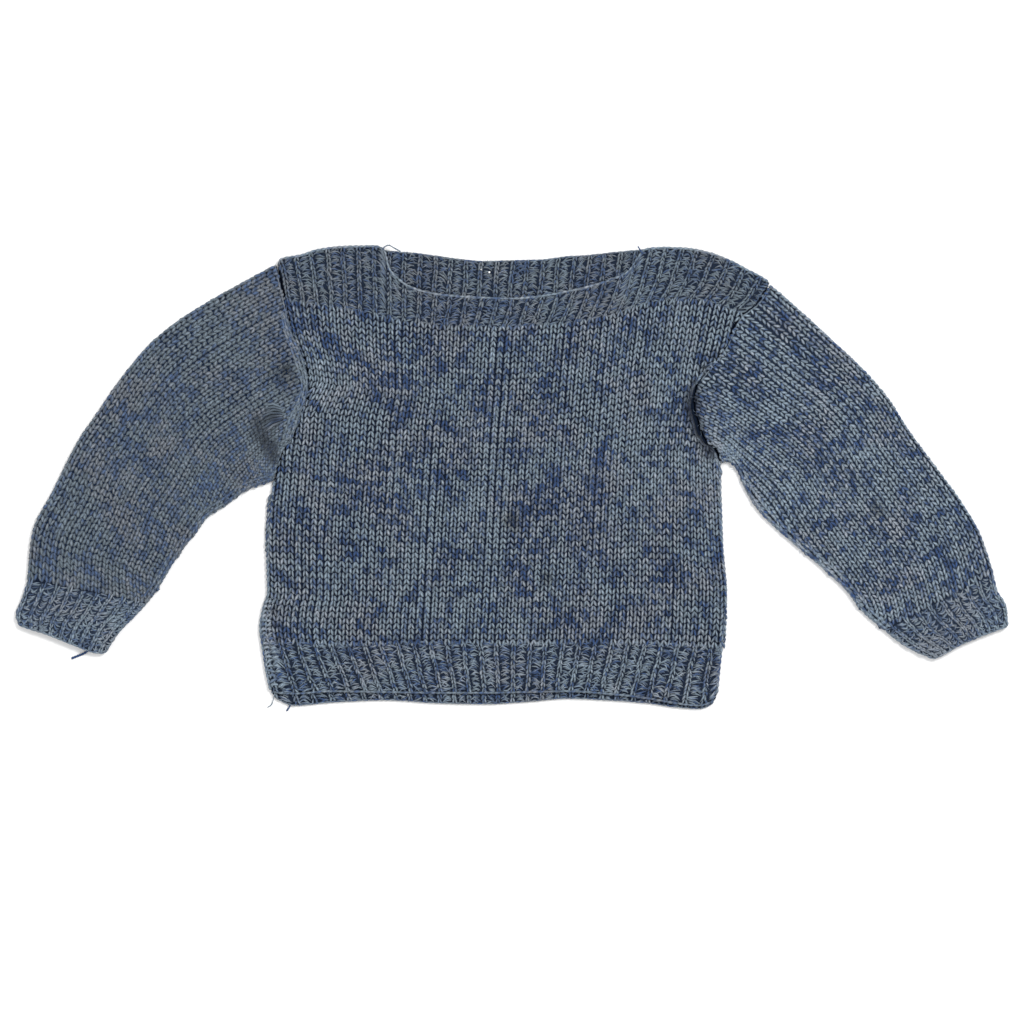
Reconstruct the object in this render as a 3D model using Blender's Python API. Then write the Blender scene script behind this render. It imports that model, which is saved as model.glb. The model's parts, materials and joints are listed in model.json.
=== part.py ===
"""A small child's hand-knitted pullover, laid flat on its back with the sleeves spread.

X runs from sleeve to sleeve, Y from hem to neck and Z up from the surface it lies on.
The origin is under the middle of the whole outline. Lengths in the tables are millimetres.
Every piece is one knitted wall, worked out from the outline tables and the table of folds.
"""

from collections import namedtuple

import bmesh
import bpy
import numpy as np

MM = 0.001

# Cloth and seams
WALL = 2.6
LAYER_GAP = 0.3
SEAM_GAP = 0.4
EDGE_ROUND = 4.0
SIDE_EDGE_SHARE = 0.45
FREE_EDGE_SHARE = 0.75
SIDE_SETTLE = 12.0

# Ribs, knit one and purl one
HEM_RIBS = 28
NECK_RIBS = 32
CUFF_RIBS = 8
RIB_HEIGHT = 0.6
RIB_END_SHARE = 0.4
STRIP_FADE = 3.0

# How far each layer puffs up off the one below, away from its edges
BODY_PUFF = 0.4
SLEEVE_PUFF = 1.0
PUFF_REACH = 25.0

# Grid of each piece: shares from the shoulder tip down the armhole to the underarm, which
# the body and the sleeve both use. The neck ribbing ends at the fourth step.
ARMHOLE_SHARES = (
    0.0, 0.015, 0.06, 0.115, 0.175, 0.245, 0.315, 0.385, 0.45,
    0.51, 0.57, 0.63, 0.69, 0.76, 0.83, 0.91, 0.985, 1.0,
)
NECK_ROWS = 4
SIDE_ROWS = 8
PANEL_COLUMNS = 22
PANEL_CROWDING = 0.45
SLEEVE_ROWS = 15
CUFF_ROWS = 4
HEM_ROWS = 3
BEND_POWER = 3
SEAM_REACH = 0.45

# Side edges of the body from hem to shoulder tip. The front's armhole seam is pushed inwards
# by the sleeve; the back's, underneath, lies nearly straight.
Edge = namedtuple("Edge", "y front back")
LEFT_EDGE = (
    Edge(-134, -153, -153),
    Edge(-120, -156, -156),
    Edge(-103, -158.5, -158.5),
    Edge(-96, -159.5, -159.5),
    Edge(-82, -157.5, -157.5),
    Edge(-72, -154.5, -154.5),
    Edge(-45, -154.5, -154.5),
    Edge(-22, -153, -153),
    Edge(-2, -150.5, -150.5),
    Edge(6, -148.5, -150),
    Edge(16, -145, -150),
    Edge(25, -138.5, -150),
    Edge(41, -132.5, -149.5),
    Edge(58, -128, -149.5),
    Edge(73, -130.5, -149),
    Edge(92, -138.5, -149),
    Edge(112, -143.5, -148.5),
    Edge(134.5, -148.5, -148.5),
)
RIGHT_EDGE = (
    Edge(-136.5, 130, 130),
    Edge(-121, 131.5, 131.5),
    Edge(-105.5, 133, 133),
    Edge(-87, 135, 135),
    Edge(-71, 135.5, 135.5),
    Edge(-46, 133.5, 133.5),
    Edge(-20, 132.5, 132.5),
    Edge(10.5, 131.5, 131.5),
    Edge(17, 129.5, 133),
    Edge(24, 122, 134),
    Edge(33, 118.5, 136),
    Edge(46, 115.5, 139.5),
    Edge(57, 116.5, 142.5),
    Edge(69, 124.5, 146),
    Edge(80, 133.5, 149.5),
    Edge(100.5, 143.5, 155.5),
    Edge(109, 154, 158.5),
    Edge(121.5, 163, 163),
)
LEFT_UNDERARM = -2.0
RIGHT_UNDERARM = 10.5

# Lines across the body
Line = namedtuple("Line", "x front back")
HEM_EDGE = (
    Line(-153, -134, -134.5),
    Line(-147, -135.5, -140.5),
    Line(-137, -136, -144),
    Line(-115, -134.5, -142),
    Line(-80, -135, -140.5),
    Line(-45, -135.5, -142.5),
    Line(-18, -135.5, -143),
    Line(10, -135, -141.5),
    Line(35, -134.5, -139.5),
    Line(60, -136, -140.5),
    Line(86, -139, -142.5),
    Line(103, -142, -145),
    Line(118, -143.5, -146),
    Line(126, -141, -143),
    Line(130, -136.5, -137),
)
HEM_RIB_END = (
    Line(-158.5, -103, -103),
    Line(-110, -104.5, -104.5),
    Line(-60, -103.5, -103.5),
    Line(0, -104, -104),
    Line(60, -103.5, -103.5),
    Line(133, -105.5, -105.5),
)
NECK_RIB_END = (
    Line(-143.5, 111, 112),
    Line(-122, 108, 110),
    Line(-100, 104.5, 107),
    Line(-82, 100.5, 105),
    Line(-62, 97.5, 104),
    Line(-38, 95, 103),
    Line(-12, 94, 102.5),
    Line(12, 94.5, 102.5),
    Line(36, 96.5, 103),
    Line(55, 100, 104),
    Line(71, 104.5, 106),
    Line(84, 109, 109.5),
    Line(102, 111, 111),
    Line(118, 110.5, 110.5),
    Line(130, 107, 107.5),
    Line(144, 102, 102),
)
TOP_EDGE = (
    Line(-148.5, 134.5, 134.5),
    Line(-145, 137.5, 137.5),
    Line(-133.5, 139.5, 139.5),
    Line(-122.5, 143, 143),
    Line(-107, 145, 145),
    Line(-87, 145.5, 145.5),
    Line(-81, 143.5, 143.5),
    Line(-78, 132, 142.5),
    Line(-73, 126, 142),
    Line(-65.5, 120.5, 141.5),
    Line(-52, 116, 140),
    Line(-35, 114, 137.5),
    Line(-18, 113, 136),
    Line(0, 112.5, 136.5),
    Line(18, 114, 137),
    Line(35, 117, 139),
    Line(50, 120.5, 140),
    Line(63, 124.5, 141.5),
    Line(73.5, 129.5, 142.5),
    Line(79.5, 138, 143),
    Line(84, 143.5, 143.5),
    Line(95, 144.5, 144.5),
    Line(109, 144, 144),
    Line(123, 141.5, 141.5),
    Line(136.5, 136.5, 136.5),
    Line(148, 130.5, 130.5),
    Line(158.5, 125, 125),
    Line(163, 121.5, 121.5),
)

# Sections across each sleeve, from the shoulder seam to the cuff, as the outer fold and the
# inner seam. Near the armhole the inner points crowd, where the cloth bunches under the arm.
Section = namedtuple("Section", "outer_x outer_y inner_x inner_y")
LEFT_SLEEVE = (
    Section(-148.5, 134.5, -150.5, -2),
    Section(-171, 122.5, -156, -4),
    Section(-206, 102, -162, -6),
    Section(-226, 86.5, -169, -9.5),
    Section(-243, 67, -179, -17),
    Section(-262.5, 39.5, -192, -25.5),
    Section(-273, 24, -201.5, -38),
    Section(-288.5, -6.5, -212.5, -53),
    Section(-302.5, -36, -221.5, -68),
    Section(-305.5, -64.5, -229.5, -79),
)
LEFT_CUFF = (
    Section(-305.5, -64.5, -229.5, -79),
    Section(-309, -76, -237.5, -87.5),
    Section(-313, -86, -246.5, -96.5),
    Section(-311, -93, -255.5, -110),
)
RIGHT_SLEEVE = (
    Section(163, 121.5, 131.5, 10.5),
    Section(181, 106, 137, 9.5),
    Section(201, 87.5, 142, 4),
    Section(220, 69.5, 147, -8),
    Section(236, 51.5, 157, -23),
    Section(250, 30, 174.5, -39.5),
    Section(267, 7, 194, -56),
    Section(283, -15, 210, -71),
    Section(295.5, -36.5, 222, -86),
    Section(303.5, -60, 234.5, -96.5),
)
RIGHT_CUFF = (
    Section(303.5, -60, 234.5, -96.5),
    Section(306, -71, 244, -104),
    Section(311.5, -80.5, 253.5, -109.5),
    Section(313, -93.5, 264, -114),
)

# Bow of the cuffs' free edges, by share across from the outer fold to the inner seam
Bow = namedtuple("Bow", "share left right")
CUFF_END = (
    Bow(0.0, 0, 0),
    Bow(0.35, 0.3, -1),
    Bow(0.6, 1.5, -1),
    Bow(0.85, 2.5, 0.6),
    Bow(0.95, 1.5, 0.8),
    Bow(1.0, 0, 0),
)

# Folds of the upper layer: a soft ridge, or a trough if its height is below zero, along a line
Fold = namedtuple("Fold", "x0 y0 x1 y1 half_width height")
FOLDS = (
    # Left sleeve bunched against the armhole, with a deep crease behind the bunch
    Fold(-136, 79, -141, 24, 7, 3.2),
    Fold(-146, 66, -154, 41, 4, -1.8),
    Fold(-154, 41, -147, 17, 4, -1.8),
    Fold(-158, 66, -166, 20, 9, 1.8),
    # Front panel beside the left armhole
    Fold(-120, 92, -121, 30, 8, 1.2),
    # Right sleeve bulging over the side of the body
    Fold(128, 70, 126, 24, 8, 4.6),
    Fold(140, 92, 150, 30, 10, 2.0),
    # Right sleeve: the inner seam's ridge and a crease at the elbow
    Fold(211, -69, 254, -102, 4, 1.0),
    Fold(223, -10, 237, -31, 6, -0.7),
    # Left sleeve: the inner seam's ridge
    Fold(-174, -12, -228, -74, 5, 0.8),
    # Shoulder seams
    Fold(-147, 131, -143, 110, 5, 0.8),
    Fold(161, 119, 144, 100, 5, 0.8),
    # Front neck edge
    Fold(-74, 124, -20, 113, 4, 0.5),
    Fold(-20, 113, 66, 124, 4, 0.5),
    # Long soft waves in the front and the sleeves
    Fold(-98, 60, -94, -60, 20, 0.5),
    Fold(20, 72, 30, -78, 24, 0.4),
    Fold(92, 52, 88, -66, 18, 0.5),
    Fold(-214, 62, -262, -36, 18, 0.8),
    Fold(212, 52, 264, -40, 18, 0.8),
)

# Colours of the marled yarn
BODY_COLOUR = (0.085, 0.115, 0.155, 1.0)
BAND_COLOUR = (0.075, 0.100, 0.140, 1.0)
YARN_ROUGHNESS = 0.9


def smooth(at, knots, values):
    """A smooth curve through (knots, values), with no overshoot between them."""
    knots = np.asarray(knots, float)
    values = np.asarray(values, float)
    rise = np.diff(values) / np.diff(knots)
    turn = rise[:-1] * rise[1:] > 0
    safe = np.where(turn, rise[:-1] + rise[1:], 1.0)
    inner = np.where(turn, 2 * rise[:-1] * rise[1:] / safe, 0.0)
    slope = np.concatenate([rise[:1], inner, rise[-1:]])
    at = np.clip(at, knots[0], knots[-1])
    k = np.clip(np.searchsorted(knots, at) - 1, 0, len(knots) - 2)
    step = knots[k + 1] - knots[k]
    t = (at - knots[k]) / step
    return (
        (1 + 2 * t) * (1 - t) ** 2 * values[k]
        + t * (1 - t) ** 2 * step * slope[k]
        + t * t * (3 - 2 * t) * values[k + 1]
        + t * t * (t - 1) * step * slope[k + 1]
    )


def column(table, name):
    return [getattr(row, name) for row in table]


def edge_x(table, layer, y):
    return smooth(y, column(table, "y"), column(table, layer))


def line_y(table, layer, x):
    return smooth(x, column(table, "x"), column(table, layer))


def lerp(a, b, t):
    return a + (b - a) * t


def rounded(distance, radius=EDGE_ROUND):
    """From 0 at an edge to 1 a radius inside it, as a quarter of a circle rises."""
    left = 1 - np.clip(distance / radius, 0, 1)
    return np.sqrt(1 - left * left)


def lift(x, y):
    """Height that the folds add to the upper layer."""
    total = 0.0
    for f in FOLDS:
        run = np.array([f.x1 - f.x0, f.y1 - f.y0])
        along = ((x - f.x0) * run[0] + (y - f.y0) * run[1]) / (run @ run)
        near = np.clip(along, 0, 1)
        away = np.hypot(x - f.x0 - near * run[0], y - f.y0 - near * run[1])
        total += f.height * np.exp(-((away / f.half_width) ** 2))
    return max(total, 0.0)


def armhole_heights(tip, underarm):
    return [lerp(tip, underarm, share) for share in ARMHOLE_SHARES]


LEFT_HEIGHTS = armhole_heights(LEFT_EDGE[-1].y, LEFT_UNDERARM)
RIGHT_HEIGHTS = armhole_heights(RIGHT_EDGE[-1].y, RIGHT_UNDERARM)


def panel_shares():
    """Shares across a panel, closer together near its sides, where the cloth bends most."""
    even = np.linspace(0, 1, PANEL_COLUMNS + 1)
    crowded = even - PANEL_CROWDING * np.sin(2 * np.pi * even) / (2 * np.pi)
    rim = EDGE_ROUND / 2 / (RIGHT_EDGE[2].front - LEFT_EDGE[2].front)
    return np.array([0.0, rim, *crowded[1:-1], 1 - rim, 1.0])


def panel_levels():
    """Heights of a panel's rows up each side, from the hem ribbing to the neck ribbing."""
    levels = []
    for table, underarm, heights in (
        (LEFT_EDGE, LEFT_UNDERARM, LEFT_HEIGHTS),
        (RIGHT_EDGE, RIGHT_UNDERARM, RIGHT_HEIGHTS),
    ):
        start = table[2].y
        below = [lerp(start, underarm, k / SIDE_ROWS) for k in range(SIDE_ROWS)]
        above = heights[: NECK_ROWS - 1 : -1]
        levels.append(np.array(below + above))
    return levels


def side_points(layer, levels):
    """Points up the body's two side edges, just inside the seams."""
    sides = []
    for table, heights, inwards in ((LEFT_EDGE, levels[0], 1), (RIGHT_EDGE, levels[1], -1)):
        xs = edge_x(table, layer, heights) + inwards * SEAM_GAP / 2
        sides.append(np.stack([xs, heights], 1))
    return sides


def across_line(table, layer, low, high, shares):
    """Points along a line across the body, whose ends are moved to meet the sides."""
    xs = lerp(low[0], high[0], shares)
    ys = line_y(table, layer, xs)
    ys += lerp(low[1] - ys[0], high[1] - ys[-1], shares)
    return np.stack([xs, ys], 1)


def edge_line(table, layer, low, high, shares):
    """The same for a piece's own columns. At a seam they lie on the panel's line, so that the
    two pieces meet however many columns each has."""
    if table in (HEM_EDGE, TOP_EDGE):
        return across_line(table, layer, low, high, shares)
    seam = across_line(table, layer, low, high, panel_shares())
    xs = lerp(low[0], high[0], shares)
    return np.stack([xs, np.interp(xs, seam[:, 0], seam[:, 1])], 1)


def body_plan(layer, bottom, top, levels, across):
    """Points [column, row] of a piece of the body between two lines and the two sides."""
    left, right = side_points(layer, levels)
    low = edge_line(bottom, layer, left[0], right[0], across)
    high = edge_line(top, layer, left[-1], right[-1], across)
    rise = sum((h - h[0]) / (h[-1] - h[0]) for h in levels) / 2
    u = across[:, None, None]
    v = rise[None, :, None]
    plan = lerp(low[:, None], high[:, None], v)
    for side, weight in ((left, (1 - u) ** BEND_POWER), (right, u**BEND_POWER)):
        chord = lerp(side[0], side[-1], rise[:, None])
        plan = plan + weight * (side - chord)[None]
    if bottom is not HEM_EDGE:
        plan[:, 0, 1] += SEAM_GAP / 2
    if top is not TOP_EDGE:
        plan[:, -1, 1] -= SEAM_GAP / 2
    return plan


def grid_of(columns, rows):
    """A flat grid whose points remember their column and row."""
    bm = bmesh.new()
    bmesh.ops.create_grid(bm, x_segments=columns, y_segments=rows, size=0.5)
    column_of = bm.verts.layers.int.new("column")
    row_of = bm.verts.layers.int.new("row")
    for v in bm.verts:
        v[column_of] = round((v.co.x + 0.5) * columns)
        v[row_of] = round((v.co.y + 0.5) * rows)
    return bm, column_of, row_of


def second_wall(bm):
    """Doubles the sheet and joins the two along their edges, and returns the new points."""
    grown = bmesh.ops.extrude_face_region(bm, geom=bm.faces[:])
    return [g for g in grown["geom"] if isinstance(g, bmesh.types.BMVert)]


def finish(bm, name, collection, colour):
    bmesh.ops.recalc_face_normals(bm, faces=bm.faces[:])
    mesh = bpy.data.meshes.new(name)
    bm.to_mesh(mesh)
    bm.free()
    material = bpy.data.materials.new(name + "_yarn")
    material.use_nodes = True
    shader = material.node_tree.nodes["Principled BSDF"]
    shader.inputs["Base Color"].default_value = colour
    shader.inputs["Roughness"].default_value = YARN_ROUGHNESS
    shader.inputs["Metallic"].default_value = 0.0
    mesh.materials.append(material)
    mesh.shade_smooth()
    collection.objects.link(bpy.data.objects.new(name, mesh))


def rib_height(column, row, rows, points_per_rib):
    """Height of the ribs at a grid point: one or two points on each crest, one in the valley."""
    crest = column % points_per_rib != 0
    return RIB_HEIGHT * crest * (1.0 if 0 < row < rows else RIB_END_SHARE)


def body_piece(name, collection, layer, bottom, top, levels, ribs=0, points_per_rib=3, shown=None):
    """A panel or a band of ribs of the body. shown says how far a place on the back lies
    beyond the front's edge, because only there do its ribs stand free."""
    if ribs:
        across = np.linspace(0, 1, ribs * points_per_rib + 1)
    else:
        across = panel_shares()
    plan = body_plan(layer, bottom, top, levels, across)
    rows = len(levels[0]) - 1

    def heights(i, j):
        """Height of the lower and of the upper face at a grid point."""
        x, y = plan[i, j]
        from_side = min(x - plan[0, j, 0], plan[-1, j, 0] - x)
        rim = rounded(from_side)
        if (j == 0 and bottom is HEM_EDGE) or (j == rows and top is TOP_EDGE):
            rim *= FREE_EDGE_SHARE
        rib = rib_height(i, j, rows, points_per_rib) * rounded(from_side) if ribs else 0.0
        if layer == "back":
            free = np.clip(shown(x, y) / STRIP_FADE, 0, 1) if shown else 0.0
            under = WALL * (1 - SIDE_EDGE_SHARE) * (1 - rounded(from_side))
            return under, WALL + rib * free
        underarm = lerp(LEFT_UNDERARM, RIGHT_UNDERARM, across[i])
        hanging = np.clip((underarm - y) / SIDE_SETTLE, 0, 1)
        settled = lerp(1.0, rounded(from_side, SIDE_SETTLE), hanging)
        puff = BODY_PUFF * rounded(from_side, PUFF_REACH)
        under = WALL + LAYER_GAP + (lift(x, y) + puff) * settled
        return under, under + WALL * lerp(SIDE_EDGE_SHARE, 1.0, rim) + rib

    bm, column_of, row_of = grid_of(len(across) - 1, rows)
    for face, points in enumerate((bm.verts[:], second_wall(bm))):
        for v in points:
            i, j = v[column_of], v[row_of]
            x, y = plan[i, j]
            v.co = (x * MM, y * MM, heights(i, j)[face] * MM)
    finish(bm, name, collection, BAND_COLOUR if ribs else BODY_COLOUR)


def sleeve_sections(sections, rows, gaps):
    """Outer and inner ends of each row of a sleeve or cuff, clear of its neighbours."""
    stations = np.linspace(0, len(sections) - 1, rows + 1)
    knots = np.arange(len(sections))
    ends = []
    for x_name, y_name in (("outer_x", "outer_y"), ("inner_x", "inner_y")):
        xs = smooth(stations, knots, column(sections, x_name))
        ys = smooth(stations, knots, column(sections, y_name))
        ends.append(np.stack([xs, ys], 1))
    run = ends[0][-1] - ends[0][0]
    run /= np.hypot(*run)
    for line in ends:
        line[0] += run * gaps[0]
        line[-1] -= run * gaps[1]
    return ends[0], ends[1], run


def sleeve_tube(name, collection, sections, across, rows, gaps, seams=None, bow=None):
    """A flattened tube of one wall: its upper layer from the outer fold to the inner seam,
    then its lower layer back. A sleeve has seams, its upper and lower lines at the armhole,
    and a cuff has ribs and the bow of its free edge."""
    count = len(across) - 1
    outer, inner, run = sleeve_sections(sections, rows, gaps)
    middle = WALL + LAYER_GAP / 2

    def place(i, j, inside):
        is_upper = i <= count
        k = i if is_upper else 2 * count - i
        c = across[k]
        a, b = outer[j], inner[j]
        width = np.hypot(*(b - a))
        inset = WALL / width if inside else 0.0
        at = lerp(a, b, lerp(inset, 1 - inset, c))
        share = j / rows
        if seams is not None:
            line = seams[0 if is_upper else 1]
            fade = max(1 - share / SEAM_REACH, 0) ** 2
            at = at + fade * (line[k] - lerp(outer[0], inner[0], c))
        rib = 0.0
        if bow is not None:
            at = at + run * bow(c) * share**2
            rib = rib_height(k, j, rows, 2) * is_upper * (not inside)
        x, y = at
        from_edge = min(c, 1 - c) * width
        puff = SLEEVE_PUFF * rounded(from_edge, PUFF_REACH)
        raised = (lift(x, y) + puff) * rounded(from_edge, SIDE_SETTLE / 2)
        rim = rounded(from_edge, WALL if inside else EDGE_ROUND)
        thickness = 0.0 if inside else WALL
        if is_upper:
            level = WALL + LAYER_GAP + thickness + raised + rib
        else:
            level = WALL - thickness
        return x * MM, y * MM, lerp(middle, level, rim) * MM

    bm, column_of, row_of = grid_of(2 * count, rows)
    for v in bm.verts:
        v.co = place(v[column_of], v[row_of], False)
    bmesh.ops.remove_doubles(bm, verts=bm.verts[:], dist=1e-5)
    for v in second_wall(bm):
        v.co = place(v[column_of], v[row_of], True)
    finish(bm, name, collection, BAND_COLOUR if bow else BODY_COLOUR)


def armhole_seams(table, heights, outwards):
    """Upper and lower lines of a sleeve at the armhole, just clear of the body."""
    heights = np.array(heights)
    return [
        np.stack([edge_x(table, layer, heights) + outwards * SEAM_GAP / 2, heights], 1)
        for layer in ("front", "back")
    ]


def cuff_bow(side):
    return lambda c: smooth(c, column(CUFF_END, "share"), column(CUFF_END, side))


def shown_below_front(x, y):
    """How far a place on the back's hem lies beyond the front's hem edge."""
    return line_y(HEM_EDGE, "front", x) - y


def shown_above_front(x, y):
    """How far a place on the back's neck ribbing lies beyond the front's neck edge."""
    return y - line_y(TOP_EDGE, "front", x)


def build():
    for obj in list(bpy.data.objects):
        bpy.data.objects.remove(obj, do_unlink=True)
    collection = bpy.data.collections.new("Pullover sweater")
    bpy.context.scene.collection.children.link(collection)

    sides = (LEFT_EDGE, RIGHT_EDGE)
    hem_levels = [np.linspace(side[0].y, side[2].y, HEM_ROWS + 1) for side in sides]
    neck_levels = [np.array(h[NECK_ROWS::-1]) for h in (LEFT_HEIGHTS, RIGHT_HEIGHTS)]
    for layer, points_per_rib, shown_hem, shown_neck in (
        ("back", 2, shown_below_front, shown_above_front),
        ("front", 3, None, None),
    ):
        body_piece("hem_" + layer, collection, layer, HEM_EDGE, HEM_RIB_END, hem_levels,
                   HEM_RIBS, points_per_rib, shown_hem)
        body_piece(layer, collection, layer, HEM_RIB_END, NECK_RIB_END, panel_levels())
        body_piece("neckband_" + layer, collection, layer, NECK_RIB_END, TOP_EDGE, neck_levels,
                   NECK_RIBS, points_per_rib, shown_neck)

    sleeve_across = np.array(ARMHOLE_SHARES)
    cuff_across = np.linspace(0, 1, 2 * CUFF_RIBS + 1)
    for side, sleeve, cuff, edge, heights, outwards in (
        ("left", LEFT_SLEEVE, LEFT_CUFF, LEFT_EDGE, LEFT_HEIGHTS, -1),
        ("right", RIGHT_SLEEVE, RIGHT_CUFF, RIGHT_EDGE, RIGHT_HEIGHTS, 1),
    ):
        sleeve_tube("sleeve_" + side, collection, sleeve, sleeve_across, SLEEVE_ROWS,
                    (0, SEAM_GAP / 2), seams=armhole_seams(edge, heights, outwards))
        sleeve_tube("cuff_" + side, collection, cuff, cuff_across, CUFF_ROWS,
                    (SEAM_GAP / 2, 0), bow=cuff_bow(side))


build()
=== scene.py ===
"""A small child's hand-knitted pullover, laid flat, stitch by stitch.

The pullover lies on its back with its sleeves spread. X runs from sleeve to sleeve, Y from
hem to neck and Z up from the surface. Lengths in the tables are millimetres.
"""

import json
import math
from collections import namedtuple

import bmesh
import bpy
import numpy as np
from bpy.props import FloatProperty, FloatVectorProperty, IntProperty, PointerProperty
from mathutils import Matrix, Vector

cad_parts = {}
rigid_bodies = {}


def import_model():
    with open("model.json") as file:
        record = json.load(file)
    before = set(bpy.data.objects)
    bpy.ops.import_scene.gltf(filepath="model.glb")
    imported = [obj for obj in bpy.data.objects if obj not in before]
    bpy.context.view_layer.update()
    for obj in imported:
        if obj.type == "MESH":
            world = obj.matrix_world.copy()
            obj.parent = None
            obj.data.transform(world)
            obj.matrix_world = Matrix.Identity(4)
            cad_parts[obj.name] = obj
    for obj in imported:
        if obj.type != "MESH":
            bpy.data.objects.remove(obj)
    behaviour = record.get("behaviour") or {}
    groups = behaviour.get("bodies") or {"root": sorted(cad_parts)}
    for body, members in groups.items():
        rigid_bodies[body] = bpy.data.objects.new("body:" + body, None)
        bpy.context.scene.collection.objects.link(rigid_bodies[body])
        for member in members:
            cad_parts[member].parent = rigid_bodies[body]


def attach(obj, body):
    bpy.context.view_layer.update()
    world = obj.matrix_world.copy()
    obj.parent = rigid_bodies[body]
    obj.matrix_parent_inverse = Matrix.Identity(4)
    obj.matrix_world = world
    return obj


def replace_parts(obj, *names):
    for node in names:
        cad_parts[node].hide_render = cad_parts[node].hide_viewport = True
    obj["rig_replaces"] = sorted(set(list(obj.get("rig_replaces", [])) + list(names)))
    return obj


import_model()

bl_info = {
    "name": "Hand-knitted pullover",
    "version": (1, 0, 0),
    "blender": (4, 5, 0),
    "location": "3D View > Sidebar > Pullover",
    "description": "Knits a child's pullover laid flat, with its ribs, seams, loose ends and fuzz",
    "category": "Object",
}

MM = 0.001
BODY = "root"

# Levels of the skins that the stitches lie on. The yarn rises above an upper skin and hangs
# below a lower one.
BACK_UNDER = 1.5
BACK_OVER = 2.1
FOLD_LEVEL = 2.75
FRONT_OVER = 4.45
SLEEVE_UNDER = 1.5
TOUCHING = 0.03

# How the cloth turns down at its edges and puffs up away from them
SIDE_ROUND = 4.0
SEAM_DIP = 1.3
SEAM_ROUND = 5.0
FREE_EDGE_DIP = 0.7
FREE_EDGE_ROUND = 3.0
SIDE_SETTLE = 12.0
BODY_PUFF = 0.4
SLEEVE_PUFF = 1.0
PUFF_REACH = 25.0
BEND_POWER = 3
STITCH_BEND_POWER = 6
HEM_SWAY = 6.0
CLOTH_INSET = 1.2
CLOTH_WALL = 1.2
CLOTH_GAP = 0.3
LINING_GAP = 0.1
SEAM_REACH = 0.45
ROW_SHEAR = 0.3
RIB_LEAN = 9.0
FOLLOW_FROM = 34.0
FOLLOW_FULL = 62.0
BODY_WIDTH = 290.0
SLEEVE_LENGTH = 240.0
BEYOND_CUFF = 200.0
NECK_RIB_SHARE = 0.175

# A stocking stitch is two leaning grains of yarn. At a grain's tail, middle and head: how far
# it is from the middle of its column, in stitches, how far up, in rows, and how much it leans
GRAIN_OFFSETS = (0.385, 0.245, 0.07)
GRAIN_HEIGHTS = (-0.16, 0.46, 1.14)
GRAIN_LEANS = (-1, 0, 1)
GRAIN_WIDTH = 0.93
HEAD_RISE = -0.35

# A rib's knit column and purl valley, and the knit grains' tail, middle and head in it
KNIT_AT = 0.3
PURL_AT = 0.78
KNIT_OFFSETS = (0.13, 0.085, 0.03)
KNIT_HEIGHTS = (-0.15, 0.5, 1.2)
KNIT_WIDTH = 0.76
KNIT_HEIGHT = 0.66
PURL_REACH = 0.28

# Links of yarn in a chain
CAST_OFF_LINK = 3.4
SEAM_LINK = 4.0
FOLD_LINK = 3.5
HIDDEN_WIDTH = 0.62
LINK_REACH = 0.66

# Heights of the stitches that turn round a fold, above and below its middle
FOLD_ABOVE = 3.5
FOLD_BELOW = 2.1

# Sets one seed's yarn apart from another's
SEED_SHIFT = 37.0

# Side edges of the body from hem to shoulder tip. The front's armhole seam is pushed inwards
# by the sleeve; the back's, underneath, lies nearly straight.
Edge = namedtuple("Edge", "y front back")
LEFT_EDGE = (
    Edge(-134, -153, -153),
    Edge(-120, -156, -156),
    Edge(-103, -158.5, -158.5),
    Edge(-96, -159.5, -159.5),
    Edge(-82, -157.5, -157.5),
    Edge(-72, -154.5, -154.5),
    Edge(-45, -154.5, -154.5),
    Edge(-22, -153, -153),
    Edge(-2, -150.5, -150.5),
    Edge(6, -148.5, -150),
    Edge(16, -145, -150),
    Edge(25, -138.5, -150),
    Edge(41, -132.5, -149.5),
    Edge(58, -128, -149.5),
    Edge(73, -130.5, -149),
    Edge(92, -138.5, -149),
    Edge(112, -143.5, -148.5),
    Edge(134.5, -148.5, -148.5),
)
RIGHT_EDGE = (
    Edge(-136.5, 130, 130),
    Edge(-121, 131.5, 131.5),
    Edge(-105.5, 133, 133),
    Edge(-87, 135, 135),
    Edge(-71, 135.5, 135.5),
    Edge(-46, 133.5, 133.5),
    Edge(-20, 132.5, 132.5),
    Edge(10.5, 131.5, 131.5),
    Edge(17, 129.5, 133),
    Edge(24, 122, 134),
    Edge(33, 118.5, 136),
    Edge(46, 115.5, 139.5),
    Edge(57, 116.5, 142.5),
    Edge(69, 124.5, 146),
    Edge(80, 133.5, 149.5),
    Edge(100.5, 143.5, 155.5),
    Edge(109, 154, 158.5),
    Edge(121.5, 163, 163),
)
LEFT_UNDERARM = -2.0
RIGHT_UNDERARM = 10.5

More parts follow.
